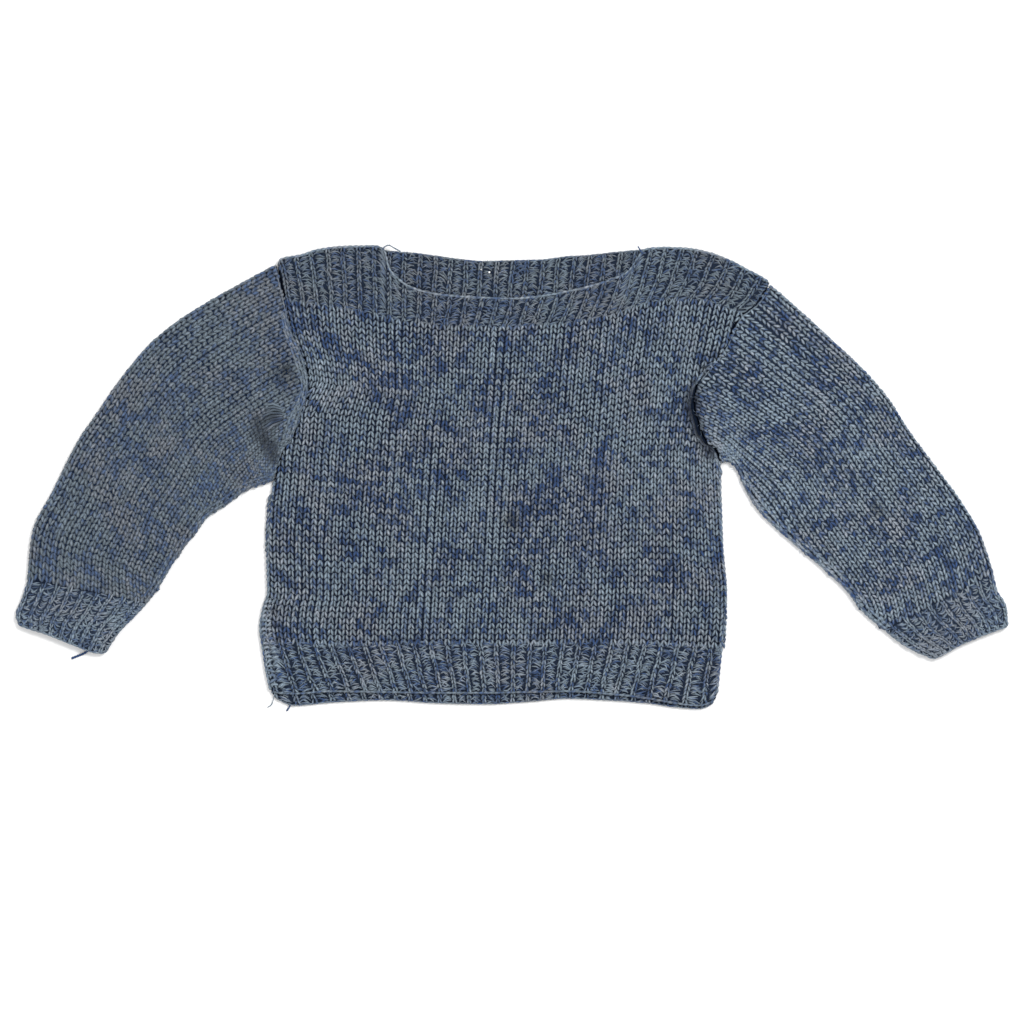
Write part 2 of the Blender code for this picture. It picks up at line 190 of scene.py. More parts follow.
# Lines across the body
Line = namedtuple("Line", "x front back")
HEM_EDGE = (
    Line(-153, -134, -134.5),
    Line(-147, -135.5, -140.5),
    Line(-137, -136, -144),
    Line(-115, -134.5, -142),
    Line(-80, -135, -140.5),
    Line(-45, -135.5, -142.5),
    Line(-18, -135.5, -143),
    Line(10, -135, -141.5),
    Line(35, -134.5, -139.5),
    Line(60, -136, -140.5),
    Line(86, -139, -142.5),
    Line(103, -142, -145),
    Line(118, -143.5, -146),
    Line(126, -141, -143),
    Line(130, -136.5, -137),
)
HEM_RIB_END = (
    Line(-158.5, -103, -103),
    Line(-110, -104.5, -104.5),
    Line(-60, -103.5, -103.5),
    Line(0, -104, -104),
    Line(60, -103.5, -103.5),
    Line(133, -105.5, -105.5),
)
NECK_RIB_END = (
    Line(-143.5, 111, 112),
    Line(-122, 108, 110),
    Line(-100, 104.5, 107),
    Line(-82, 100.5, 105),
    Line(-62, 97.5, 104),
    Line(-38, 95, 103),
    Line(-12, 94, 102.5),
    Line(12, 94.5, 102.5),
    Line(36, 96.5, 103),
    Line(55, 100, 104),
    Line(71, 104.5, 106),
    Line(84, 109, 109.5),
    Line(102, 111, 111),
    Line(118, 110.5, 110.5),
    Line(130, 107, 107.5),
    Line(144, 102, 102),
)
TOP_EDGE = (
    Line(-148.5, 134.5, 134.5),
    Line(-145, 137.5, 137.5),
    Line(-133.5, 139.5, 139.5),
    Line(-122.5, 143, 143),
    Line(-107, 145, 145),
    Line(-87, 145.5, 145.5),
    Line(-81, 143.5, 143.5),
    Line(-78, 132, 142.5),
    Line(-73, 126, 142),
    Line(-65.5, 120.5, 141.5),
    Line(-52, 116, 140),
    Line(-35, 114, 137.5),
    Line(-18, 113, 136),
    Line(0, 112.5, 136.5),
    Line(18, 114, 137),
    Line(35, 117, 139),
    Line(50, 120.5, 140),
    Line(63, 124.5, 141.5),
    Line(73.5, 129.5, 142.5),
    Line(79.5, 138, 143),
    Line(84, 143.5, 143.5),
    Line(95, 144.5, 144.5),
    Line(109, 144, 144),
    Line(123, 141.5, 141.5),
    Line(136.5, 136.5, 136.5),
    Line(148, 130.5, 130.5),
    Line(158.5, 125, 125),
    Line(163, 121.5, 121.5),
)

# The deep crease between the front and the right sleeve's bulge
Crease = namedtuple("Crease", "y reach depth width gap")
CREASE = Crease(35, 27, 1.7, 11.0, 4.1)

# The smooth selvage beside the left armhole, and the strip of the back that wraps round the
# left side, as widths at heights
Width = namedtuple("Width", "y width")
SELVAGE = (
    Width(104, 3.0),
    Width(90, 4.5),
    Width(74, 5.5),
    Width(58, 4.0),
    Width(46, 4.5),
    Width(34, 6.0),
    Width(24, 5.0),
)
WRAP = (
    Width(-76, 5.0),
    Width(-90, 8.0),
    Width(-103, 9.5),
    Width(-115, 11.0),
    Width(-131, 12.0),
)

# A fan of bunched stitches on the left sleeve, below the fold of its armhole
Bunch = namedtuple("Bunch", "x0 x1 y half count")
BUNCH = Bunch(-158.0, -143.0, 38.0, 8.5, 8)

# Sections across each sleeve, from the shoulder seam to the cuff, as the outer fold and the
# inner seam
Section = namedtuple("Section", "outer_x outer_y inner_x inner_y")
LEFT_SLEEVE = (
    Section(-148.5, 134.5, -150.5, -2),
    Section(-171, 122.5, -156, -4),
    Section(-206, 102, -162, -6),
    Section(-226, 86.5, -169, -9.5),
    Section(-243, 67, -179, -17),
    Section(-262.5, 39.5, -192, -25.5),
    Section(-273, 24, -201.5, -38),
    Section(-288.5, -6.5, -212.5, -53),
    Section(-302.5, -36, -221.5, -68),
    Section(-305.5, -64.5, -229.5, -79),
)
LEFT_CUFF = (
    Section(-305.5, -64.5, -229.5, -79),
    Section(-309, -76, -237.5, -87.5),
    Section(-313, -86, -246.5, -96.5),
    Section(-311, -93, -255.5, -110),
)
RIGHT_SLEEVE = (
    Section(163, 121.5, 131.5, 10.5),
    Section(181, 106, 137, 9.5),
    Section(201, 87.5, 142, 4),
    Section(220, 69.5, 147, -8),
    Section(236, 51.5, 157, -23),
    Section(250, 30, 174.5, -39.5),
    Section(267, 7, 194, -56),
    Section(283, -15, 210, -71),
    Section(295.5, -36.5, 222, -86),
    Section(303.5, -60, 234.5, -96.5),
)
RIGHT_CUFF = (
    Section(303.5, -60, 234.5, -96.5),
    Section(306, -71, 244, -104),
    Section(311.5, -80.5, 253.5, -109.5),
    Section(313, -93.5, 264, -114),
)

# Bow of the cuffs' free edges, by share across from the outer fold to the inner seam
Bow = namedtuple("Bow", "share left right")
CUFF_END = (
    Bow(0.0, 0, 0),
    Bow(0.35, 0.3, -1),
    Bow(0.6, 1.5, -1),
    Bow(0.85, 2.5, 0.6),
    Bow(0.95, 1.5, 0.8),
    Bow(1.0, 0, 0),
)

# Folds of the upper layer: a soft ridge, or a trough if its height is below zero, along a line
Fold = namedtuple("Fold", "x0 y0 x1 y1 half_width height")
FOLDS = (
    # Left sleeve bunched against the armhole, with a deep crease behind the bunch
    Fold(-136, 79, -141, 24, 7, 3.2),
    Fold(-146, 66, -154, 41, 4, -1.8),
    Fold(-154, 41, -147, 17, 4, -1.8),
    Fold(-158, 66, -166, 20, 9, 1.8),
    # Front panel beside the left armhole
    Fold(-120, 92, -121, 30, 8, 1.2),
    # Right sleeve bulging over the side of the body
    Fold(128, 70, 126, 24, 8, 4.6),
    Fold(140, 92, 150, 30, 10, 2.0),
    # Right sleeve: the inner seam's ridge and a crease at the elbow
    Fold(211, -69, 254, -102, 4, 1.0),
    Fold(223, -10, 237, -31, 6, -0.7),
    # Left sleeve: the inner seam's ridge
    Fold(-174, -12, -228, -74, 5, 0.8),
    # Shoulder seams
    Fold(-147, 131, -143, 110, 5, 0.8),
    Fold(161, 119, 144, 100, 5, 0.8),
    # Front neck edge
    Fold(-74, 124, -20, 113, 4, 0.5),
    Fold(-20, 113, 66, 124, 4, 0.5),
    # Long soft waves in the front and the sleeves
    Fold(-98, 60, -94, -60, 20, 0.5),
    Fold(20, 72, 30, -78, 24, 0.4),
    Fold(92, 52, 88, -66, 18, 0.5),
    Fold(-214, 62, -262, -36, 18, 0.8),
    Fold(212, 52, 264, -40, 18, 0.8),
)


def smooth(at, knots, values):
    """A smooth curve through (knots, values), with no overshoot between them."""
    knots = np.asarray(knots, float)
    values = np.asarray(values, float)
    rise = np.diff(values) / np.diff(knots)
    turn = rise[:-1] * rise[1:] > 0
    safe = np.where(turn, rise[:-1] + rise[1:], 1.0)
    inner = np.where(turn, 2 * rise[:-1] * rise[1:] / safe, 0.0)
    slope = np.concatenate([rise[:1], inner, rise[-1:]])
    at = np.clip(at, knots[0], knots[-1])
    k = np.clip(np.searchsorted(knots, at) - 1, 0, len(knots) - 2)
    step = knots[k + 1] - knots[k]
    t = (at - knots[k]) / step
    return (
        (1 + 2 * t) * (1 - t) ** 2 * values[k]
        + t * (1 - t) ** 2 * step * slope[k]
        + t * t * (3 - 2 * t) * values[k + 1]
        + t * t * (t - 1) * step * slope[k + 1]
    )


def values_of(table, name):
    return [getattr(row, name) for row in table]


def edge_x(table, layer, y):
    return smooth(y, values_of(table, "y"), values_of(table, layer))


def line_y(table, layer, x):
    return smooth(x, values_of(table, "x"), values_of(table, layer))


def lerp(a, b, t):
    return a + (b - a) * t


def unit(vectors):
    return vectors / (np.linalg.norm(vectors, axis=-1, keepdims=True) + 1e-12)


def facing(across, along, out):
    """Normals of a surface, up or down as its face looks out."""
    normal = unit(np.cross(across, along))
    return normal * np.where(normal[..., 2:] < 0, -1.0, 1.0) * out


def upward(count):
    return np.tile((0.0, 0.0, 1.0), (count, 1))


def rounded(distance, radius):
    """From 0 at an edge to 1 a radius inside it, as a quarter of a circle rises."""
    left = 1 - np.clip(distance / radius, 0, 1)
    return np.sqrt(np.clip(1 - left * left, 0, 1))


def lift(x, y):
    """Height that the folds add to the upper layer."""
    total = np.zeros(np.broadcast(x, y).shape)
    for f in FOLDS:
        run_x, run_y = f.x1 - f.x0, f.y1 - f.y0
        along = ((x - f.x0) * run_x + (y - f.y0) * run_y) / (run_x**2 + run_y**2)
        near = np.clip(along, 0, 1)
        away = np.hypot(x - f.x0 - near * run_x, y - f.y0 - near * run_y)
        total = total + f.height * np.exp(-((away / f.half_width) ** 2))
    return np.maximum(total, 0.0)


def sleeve_top(x, y):
    """Height of the sleeves' upper skin near the armholes."""
    return FRONT_OVER + 0.5 * SLEEVE_PUFF + lift(x, y)


def crease_share(y):
    """How deep the crease beside the right sleeve is at each height."""
    return np.exp(-(((y - CREASE.y) / CREASE.reach) ** 4))


def wander(seed, *coordinates):
    """A smooth, repeatable unevenness between about -1 and 1, from a few crossing waves."""
    rng = np.random.default_rng(seed)
    total = 0.0
    for _ in range(5):
        phase = rng.uniform(0, 2 * np.pi)
        turns = rng.normal(0, 1, len(coordinates))
        total = total + np.sin(phase + sum(k * c for k, c in zip(turns, coordinates)))
    return total / 3


class Face:
    """An outer face of the knitting. Places on it are counted in stitches and rows."""

    out = 1.0

    def point(self, column, row):
        raise NotImplementedError

    def normal(self, column, row):
        step = 0.06
        across = self.point(column + step, row) - self.point(column - step, row)
        along = self.point(column, row + step) - self.point(column, row - step)
        return facing(across, along, self.out)

    def above(self, column, row, height):
        height = np.asarray(height, float)[..., None]
        return self.point(column, row) + self.normal(column, row) * height


class BodyFace(Face):
    """A face of a panel or band of the body, between two lines and the two sides."""

    def __init__(self, layer, bottom, top, low, high, columns, rows, upper=True):
        self.layer, self.bottom, self.top = layer, bottom, top
        self.low, self.high = low, high
        self.columns, self.rows = columns, rows
        self.out = 1.0 if upper else -1.0
        self.follow = (1.0, 1.0)
        self.power = BEND_POWER
        self.sway = 0.0
        self.creased = False

    def side(self, table, k, v):
        y = lerp(self.low[k], self.high[k], v)
        hidden, seen = edge_x(table, "back", y), edge_x(table, self.layer, y)
        follow = self.follow[k]
        if follow < 1:
            follow = follow * np.clip((y - FOLLOW_FROM) / (FOLLOW_FULL - FOLLOW_FROM), 0.3, 1)
        return np.stack([lerp(hidden, seen, follow), y], -1)

    def line(self, table, v, u):
        left = self.side(LEFT_EDGE, 0, np.full_like(u, v))
        right = self.side(RIGHT_EDGE, 1, np.full_like(u, v))
        x = lerp(left[..., 0], right[..., 0], u)
        y = line_y(table, self.layer, x)
        end_left = left[..., 1] - line_y(table, self.layer, left[..., 0])
        end_right = right[..., 1] - line_y(table, self.layer, right[..., 0])
        return np.stack([x, y + lerp(end_left, end_right, u)], -1)

    def plan(self, u, v):
        u, v = np.asarray(u, float), np.asarray(v, float)
        inside = np.clip(v, 0, 1)
        if self.bottom is HEM_EDGE:
            lean = np.cos(np.pi * u) * (1 - (2 * u - 1) ** 6)
            u = u + RIB_LEAN / BODY_WIDTH * lean * (1 - inside)
        low = self.line(self.bottom, 0.0, u)
        high = self.line(self.top, 1.0, u)
        place = lerp(low, high, v[..., None])
        place[..., 0] += self.sway * (1 - inside) ** 1.5
        across = np.clip(u, 0, 1)
        for table, k, weight in (
            (LEFT_EDGE, 0, (1 - across) ** self.power),
            (RIGHT_EDGE, 1, across**self.power),
        ):
            ends = [self.side(table, k, np.full_like(u, end)) for end in (0.0, 1.0)]
            chord = lerp(ends[0], ends[1], inside[..., None])
            place = place + weight[..., None] * (self.side(table, k, inside) - chord)
        return place, high, low

    def from_side(self, x, y):
        """Distance in from the nearer side edge."""
        left, right = (edge_x(table, self.layer, y) for table in (LEFT_EDGE, RIGHT_EDGE))
        return np.minimum(x - left, right - x)

    def level(self, u, place, high, low):
        """Height of the skin above the surface that the pullover lies on."""
        x, y = place[..., 0], place[..., 1]
        from_side = np.maximum(self.from_side(x, y), 0)
        roll = rounded(from_side, SIDE_ROUND)
        underarm = lerp(LEFT_UNDERARM, RIGHT_UNDERARM, np.clip(u, 0, 1))
        crease = crease_share(y) * (u > 0.5)
        hanging = np.clip((underarm - y) / SIDE_SETTLE, 0, 1)
        if self.layer == "back":
            if self.out < 0:
                return lerp(FOLD_LEVEL - LINING_GAP, BACK_UNDER, roll)
            return np.full(np.shape(x), BACK_OVER)
        settled = lerp(1.0, rounded(from_side, SIDE_SETTLE), hanging)
        puff = BODY_PUFF * rounded(from_side, PUFF_REACH)
        flat = FRONT_OVER + (lift(x, y) + puff) * settled
        dip = lerp(SEAM_DIP, CREASE.depth, crease)
        at_seam = flat - dip * (1 - rounded(from_side, lerp(SEAM_ROUND, CREASE.width, crease)))
        at_fold = lerp(FOLD_LEVEL + LINING_GAP, flat, roll)
        level = lerp(at_seam, at_fold, hanging)
        for edge, line, across in (
            (HEM_EDGE, self.bottom, y - low[..., 1]),
            (TOP_EDGE, self.top, high[..., 1] - y),
        ):
            if line is edge:
                level = level - FREE_EDGE_DIP * (1 - rounded(across, FREE_EDGE_ROUND))
        return level

    def point(self, column, row):
        u = np.asarray(column, float) / self.columns
        v = np.asarray(row, float) / self.rows
        u, v = np.broadcast_arrays(u, v)
        place, high, low = self.plan(u, v)
        if self.creased:
            x, y = place[..., 0], place[..., 1]
            limit = edge_x(RIGHT_EDGE, self.layer, y) - CREASE.gap * crease_share(y)
            place[..., 0] = np.where(crease_share(y) > 0.02, np.minimum(x, limit), x)
        z = self.level(u, place, high, low)
        return np.concatenate([place, z[..., None]], -1)


class TubeFace(Face):
    """The upper or lower face of a flattened sleeve or cuff."""

    def __init__(self, sections, upper=True, seam=None, bow=None, stitch=1.0, row=1.0):
        self.sections = sections
        self.out = 1.0 if upper else -1.0
        self.seam, self.bow = seam, bow
        self.stitch, self.row = stitch, row
        self.knots = np.arange(len(sections))
        first, last = sections[0], sections[-1]
        run = np.array([last.outer_x - first.outer_x, last.outer_y - first.outer_y])
        self.run = run / np.hypot(*run)

    def end(self, name, t):
        at = np.asarray(t, float) * (len(self.sections) - 1)
        xs = smooth(at, self.knots, values_of(self.sections, name + "_x"))
        ys = smooth(at, self.knots, values_of(self.sections, name + "_y"))
        return np.stack([xs, ys], -1)

    def width(self, t):
        return np.linalg.norm(self.end("inner", t) - self.end("outer", t), axis=-1)

    def plan(self, c, t):
        c = np.clip(np.asarray(c, float), 0, 1)
        t = np.asarray(t, float)
        c, t = np.broadcast_arrays(c, t)
        inside = np.clip(t, 0, 1)
        place = lerp(self.end("outer", inside), self.end("inner", inside), c[..., None])
        if self.seam is not None:
            table, tip, underarm, layer = self.seam
            y = lerp(tip, underarm, c)
            line = np.stack([edge_x(table, layer, y), y], -1)
            zero = np.zeros_like(c)
            chord = lerp(self.end("outer", zero), self.end("inner", zero), c[..., None])
            fade = np.clip(1 - inside / SEAM_REACH, 0, 1) ** 2
            place = place + fade[..., None] * (line - chord)
        if self.bow is not None:
            bow = smooth(c, values_of(CUFF_END, "share"), values_of(CUFF_END, self.bow))
            place = place + self.run * (bow * inside**2)[..., None]
        beyond = (t - inside) * BEYOND_CUFF
        return place + self.run * beyond[..., None]

    def level(self, c, t, place):
        c = np.clip(c, 0, 1)
        from_edge = np.minimum(c, 1 - c) * self.width(np.clip(t, 0, 1))
        roll = rounded(from_edge, SIDE_ROUND)
        if self.out < 0:
            return lerp(FOLD_LEVEL - LINING_GAP, SLEEVE_UNDER, roll)
        puff = SLEEVE_PUFF * rounded(from_edge, PUFF_REACH)
        raised = (lift(place[..., 0], place[..., 1]) + puff) * rounded(from_edge, SIDE_SETTLE / 2)
        level = FRONT_OVER + raised
        if self.seam is not None:
            from_seam = np.clip(t, 0, 1) * SLEEVE_LENGTH
            level = level - SEAM_DIP * 0.6 * (1 - rounded(from_seam, SEAM_ROUND))
        return lerp(FOLD_LEVEL + LINING_GAP, level, roll)

    def at(self, c, t):
        c, t = np.broadcast_arrays(np.asarray(c, float), np.asarray(t, float))
        place = self.plan(c, t)
        return np.concatenate([place, self.level(c, t, place)[..., None]], -1)


class CuffFace(TubeFace):
    """Ribs run along a cuff, so places are shares of its width and its length."""

    def __init__(self, *args, columns=1, rows=1, **kwargs):
        super().__init__(*args, **kwargs)
        self.columns, self.rows = columns, rows

    def point(self, column, row):
        return self.at(np.asarray(column, float) / self.columns,
                       np.asarray(row, float) / self.rows)


class SleeveFace(TubeFace):
    """Columns of stitches run along a sleeve at even distances from its outer fold, and
    rows are counted up from the cuff."""

    def __init__(self, *args, **kwargs):
        super().__init__(*args, **kwargs)
        t = np.linspace(0, 1, 201)
        self.reach = self.width(t).max()
        self.distances = np.linspace(0, self.reach, 71)
        c = np.clip(self.distances[:, None] / self.width(t)[None], 0, 1)
        track = self.plan(c, np.broadcast_to(t, c.shape))
        steps = np.linalg.norm(np.diff(track, axis=1), axis=-1)
        left = np.cumsum(steps[:, ::-1], axis=1)[:, ::-1]
        left = np.concatenate([left, np.zeros((len(left), 1))], 1)
        left = lerp(left[len(left) // 3], left, ROW_SHEAR)
        self.longest = left.max()
        self.lengths = left[:, 0]
        self.arcs = np.linspace(0, self.longest, 241)
        self.table = np.stack([
            np.interp(self.arcs, one[::-1], t[::-1], right=0.0) for one in left
        ])

    def share_along(self, distance, arc):
        """The share along the sleeve, from the armhole, of a place in millimetres."""
        last, end = len(self.distances) - 1, len(self.arcs) - 1
        i = np.clip(distance / self.reach * last, 0, last - 0.001)
        j = np.clip(arc / self.longest * end, 0, end - 0.001)
        a, b = i.astype(int), j.astype(int)
        p, q = i - a, j - b
        return (
            self.table[a, b] * (1 - p) * (1 - q)
            + self.table[a + 1, b] * p * (1 - q)
            + self.table[a, b + 1] * (1 - p) * q
            + self.table[a + 1, b + 1] * p * q
        )

    def point(self, column, row):
        column, row = np.broadcast_arrays(np.asarray(column, float), np.asarray(row, float))
        distance, arc = column * self.stitch, row * self.row
        t = self.share_along(distance, arc)
        t = np.where(arc < 0, 1 - arc / BEYOND_CUFF, t)
        return self.at(distance / self.width(np.clip(t, 0, 1)), t)


def grain_shape(sides, rings):
    """A grain of yarn one unit in radius and half-length, with its faces and an unrolled map."""
    bm = bmesh.new()
    bmesh.ops.create_uvsphere(bm, u_segments=sides, v_segments=rings, radius=1.0)
    bmesh.ops.triangulate(bm, faces=bm.faces[:])
    bm.verts.index_update()
    points = np.array([v.co[:] for v in bm.verts])
    faces = np.array([[v.index for v in f.verts] for f in bm.faces])
    bm.free()
    turn = (np.arctan2(points[:, 1], points[:, 0]) / (2 * np.pi) + 0.25) % 1.0
    pole = np.hypot(points[:, 0], points[:, 1]) < 1e-4
    unrolled = np.zeros((len(faces), 3, 2))
    for k, face in enumerate(faces):
        middle = points[face].mean(0)
        centre = (math.atan2(middle[1], middle[0]) / (2 * math.pi) + 0.25) % 1.0
        for n, v in enumerate(face):
            around = centre if pole[v] else turn[v]
            around += round(centre - around)
            unrolled[k, n] = around, (points[v, 2] + 1) / 2
    return points, faces, turn, unrolled


# Grains of yarn: tail, middle and head of each, the way it faces, its half width and height,
# and where its yarn is in the knitting
Grains = namedtuple("Grains", "paths normals widths heights yarn")


def joined(parts):
    return Grains(*(np.concatenate([getattr(p, name) for p in parts]) for name in Grains._fields))


def path_grains(face, columns, rows, rise, widths, heights, yarn):
    """Grains whose tail, middle and head are places on a face, counted in stitches."""
    tail, middle, head = (
        face.above(columns[k], rows[k], np.broadcast_to(rise[k], columns[k].shape))
        for k in range(3)
    )
    count = len(tail)
    return Grains(
        np.stack([tail, middle, head], 1),
        face.normal(columns[1], rows[1]),
        np.broadcast_to(widths, count).astype(float),
        np.broadcast_to(heights, count).astype(float),
        yarn,
    )


def add_object(name, data):
    obj = bpy.data.objects.new(name, data)
    bpy.context.scene.collection.objects.link(obj)
    return obj


def grain_piece(name, grains, shape, material, twist=0.3):
    """One mesh of many grains. Its points know where their yarn is in the knitting."""
    points, faces, turn, unrolled = shape
    tail, middle, head = (grains.paths[:, k][:, None] for k in range(3))
    along = unit(head - tail)
    side = unit(np.cross(grains.normals[:, None], along))
    up = np.cross(along, side)
    t = points[None, :, 2, None]
    place = middle + t * (head - tail) / 2 + t**2 * ((head + tail) / 2 - middle)
    place = place + side * (grains.widths[:, None] * points[None, :, 0])[..., None]
    place = place + up * (grains.heights[:, None] * points[None, :, 1])[..., None]
    place[..., 2] = np.maximum(place[..., 2], TOUCHING)
    count, size = len(place), len(points)
    corners = (faces[None] + size * np.arange(count)[:, None, None]).reshape(-1, 3)
    mesh = bpy.data.meshes.new(name)
    mesh.from_pydata(place.reshape(-1, 3) * MM, [], corners)
    yarn = np.repeat(grains.yarn[:, None], size, 1)
    yarn[..., 0] += 0.2 * points[None, :, 2]
    yarn[..., 2] += twist * points[None, :, 2] + turn[None]
    mesh.attributes.new("yarn", "FLOAT_VECTOR", "POINT").data.foreach_set("vector", yarn.ravel())
    # Height across each grain; the yarn's colour paints a highlight on the crest and shade on the
    # sides from it
    crest = np.tile(points[:, 1], count)
    mesh.attributes.new("crest", "FLOAT", "POINT").data.foreach_set("value", crest)
    side_cells = math.ceil(math.sqrt(count))
    cell = np.stack([np.arange(count) % side_cells, np.arange(count) // side_cells], -1)
    tall = math.ceil(count / side_cells)
    margin = 0.04
    uv = (cell[:, None, None] + lerp(margin, 1 - margin, unrolled[None])) / (side_cells, tall)
    mesh.uv_layers.new(name="OFBake").data.foreach_set("uv", uv.ravel())
    mesh.shade_smooth()
    mesh.materials.append(material)
    return add_object(name, mesh)


def knit_stitches(face, columns, rows, seed, thick=1.0, full=0.72):
    """Two leaning grains for each stocking stitch, meeting at its top."""
    rng = np.random.default_rng(seed)
    columns = columns + 0.08 * wander(seed, columns * 0.45, rows * 0.11)
    rows = rows + 0.2 * wander(seed + 1, columns * 0.16, rows * 0.3)
    rows = rows + 0.12 * wander(seed + 3, columns * 2.3, rows * 0.4)
    spare = 0.045 * wander(seed + 2, columns * 1.9, rows * 0.05)
    count = len(columns)
    parts = []
    for sign in (-1, 1):
        shake = rng.normal(0, 0.03, (3, count))
        lean = rng.normal(0, 0.045, count)
        at = [
            columns + sign * (offset + spare) + lean * k + shake[n] * 0.5
            for n, (offset, k) in enumerate(zip(GRAIN_OFFSETS, GRAIN_LEANS))
        ]
        up = [rows + height + shake[n] * 2 for n, height in enumerate(GRAIN_HEIGHTS)]
        width = GRAIN_WIDTH * thick * (1 + rng.normal(0, 0.1, count) - 0.6 * spare)
        height = full * (1 + rng.normal(0, 0.1, count))
        middle = full - 0.04 + rng.normal(0, 0.12, count)
        tail = -0.3 + rng.normal(0, 0.16, count)
        yarn = np.stack([columns + 0.25 * sign, rows, rng.uniform(0, 1, count)], -1)
        yarn[:, :2] += seed * SEED_SHIFT
        parts.append(path_grains(face, at, up, (tail, middle, HEAD_RISE), width, height, yarn))
    return joined(parts)


def chain(points, normals, link, width, height, seed, sink=0.15):
    """Overlapping links of yarn along a line, as of a cast-off edge or a sewn seam."""
    steps = np.linalg.norm(np.diff(points, axis=0), axis=-1)
    run = np.concatenate([[0], np.cumsum(steps)])
    count = max(int(run[-1] / link), 1)
    middle = (np.arange(count) + 0.5) * run[-1] / count
    rng = np.random.default_rng(seed)

    def at(distance):
        return np.stack([np.interp(distance, run, points[:, k]) for k in range(3)], -1)

    normal = unit(np.stack([np.interp(middle, run, normals[:, k]) for k in range(3)], -1))
    reach = LINK_REACH * run[-1] / count
    shake = rng.normal(0, 0.08, (count, 3))
    tail = at(middle - reach) - normal * sink + shake
    head = at(middle + reach) - normal * sink - shake
    yarn = np.stack([middle / 4.0, np.full(count, seed * 3.7), rng.uniform(0, 1, count)], -1)
    return Grains(
        np.stack([tail, at(middle) + normal * sink, head], 1),
        normal,
        width * (1 + rng.normal(0, 0.07, count)),
        np.full(count, float(height)),
        yarn,
    )


def grid_of(columns, rows):
    """A flat grid whose points remember their column and row."""
    bm = bmesh.new()
    bmesh.ops.create_grid(bm, x_segments=columns, y_segments=rows, size=0.5)
    column_of = bm.verts.layers.int.new("column")
    row_of = bm.verts.layers.int.new("row")
    for v in bm.verts:
        v[column_of] = round((v.co.x + 0.5) * columns)
        v[row_of] = round((v.co.y + 0.5) * rows)
    return bm, column_of, row_of


def cloth_piece(name, columns, rows, first, second, material, tube=False):
    """A thin closed wall between two grids of places, first[column, row] and second."""
    bm, column_of, row_of = grid_of(columns, rows)
    for v in bm.verts:
        v.co = first[v[column_of], v[row_of]] * MM
    if tube:
        bmesh.ops.remove_doubles(bm, verts=bm.verts[:], dist=1e-6)
    grown = bmesh.ops.extrude_face_region(bm, geom=bm.faces[:])
    for v in grown["geom"]:
        if isinstance(v, bmesh.types.BMVert):
            v.co = second[v[column_of], v[row_of]] * MM
    bmesh.ops.recalc_face_normals(bm, faces=bm.faces[:])
    mesh = bpy.data.meshes.new(name)
    bm.to_mesh(mesh)
    bm.free()
    mesh.shade_smooth()
    mesh.materials.append(material)
    return add_object(name, mesh)


# Node groups and materials

# The marl: how the noise is stretched along the rows, and how much the streaks, the patches
# and the share of blue each say in where the yarn is blue
STREAK_STRETCH = (0.8, 2.1, 0.0)
GRAIN_STRETCH = (2.3, 5.1, 0.4)
STREAK_SWING = 10.0
PATCH_SWING = 4.6
SHARE_SWING = 2.4

# Scales of noise, in turns a metre: patches of blue, warmer tints, single fibres, the ragged
# rim of a soiled spot and the cloth under the stitches
PATCH_SCALE = 60.0
TINT_SCALE = 28.0
FIBRE_SCALE = 2600.0
RAGGED_SCALE = 220.0
DEPTH_SCALE = 500.0
FULL_TURN = 6.2832


def socket(tree, name, kind, inward=True, default=None):
    made = tree.interface.new_socket(
        name=name, in_out="INPUT" if inward else "OUTPUT", socket_type="NodeSocket" + kind
    )
    if default is not None:
        made.default_value = default
    return made


def new_group(name):
    tree = bpy.data.node_groups.new(name, "ShaderNodeTree")
    return tree, tree.nodes.new("NodeGroupInput"), tree.nodes.new("NodeGroupOutput")


def put(tree, value, target):
    if isinstance(value, bpy.types.NodeSocket):
        tree.links.new(value, target)
    else:
        target.default_value = value


def math_node(tree, operation, a, b=0.5):
    node = tree.nodes.new("ShaderNodeMath")
    node.operation = operation
    put(tree, a, node.inputs[0])
    put(tree, b, node.inputs[1])
    return node.outputs[0]


def plus(tree, a, b):
    return math_node(tree, "ADD", a, b)


def times(tree, a, b):
    return math_node(tree, "MULTIPLY", a, b)


def minus(tree, a, b):
    return math_node(tree, "SUBTRACT", a, b)


def swing(tree, value, by):
    """How far a value is above a half, made larger or smaller."""
    return times(tree, minus(tree, value, 0.5), by)


def vector_node(tree, operation, a, b):
    node = tree.nodes.new("ShaderNodeVectorMath")
    node.operation = operation
    put(tree, a, node.inputs[0])
    put(tree, b, node.inputs[1])
    return node.outputs["Value" if operation == "DISTANCE" else "Vector"]


def noise_node(tree, vector, scale, detail=2.0, rough=0.5):
    node = tree.nodes.new("ShaderNodeTexNoise")
    put(tree, vector, node.inputs["Vector"])
    put(tree, scale, node.inputs["Scale"])
    put(tree, detail, node.inputs["Detail"])
    put(tree, rough, node.inputs["Roughness"])
    return node.outputs["Fac"]


def ramp_node(tree, value, low, high, to_low=0.0, to_high=1.0):
    node = tree.nodes.new("ShaderNodeMapRange")
    node.interpolation_type = "SMOOTHSTEP"
    put(tree, value, node.inputs["Value"])
    for name, number in (
        ("From Min", low), ("From Max", high), ("To Min", to_low), ("To Max", to_high),
    ):
        put(tree, number, node.inputs[name])
    return node.outputs["Result"]


def mix_node(tree, factor, a, b, blend="MIX"):
    node = tree.nodes.new("ShaderNodeMix")
    node.data_type = "RGBA"
    node.blend_type = blend
    put(tree, factor, node.inputs["Factor"])
    put(tree, a, node.inputs["A"])
    put(tree, b, node.inputs["B"])
    return node.outputs["Result"]


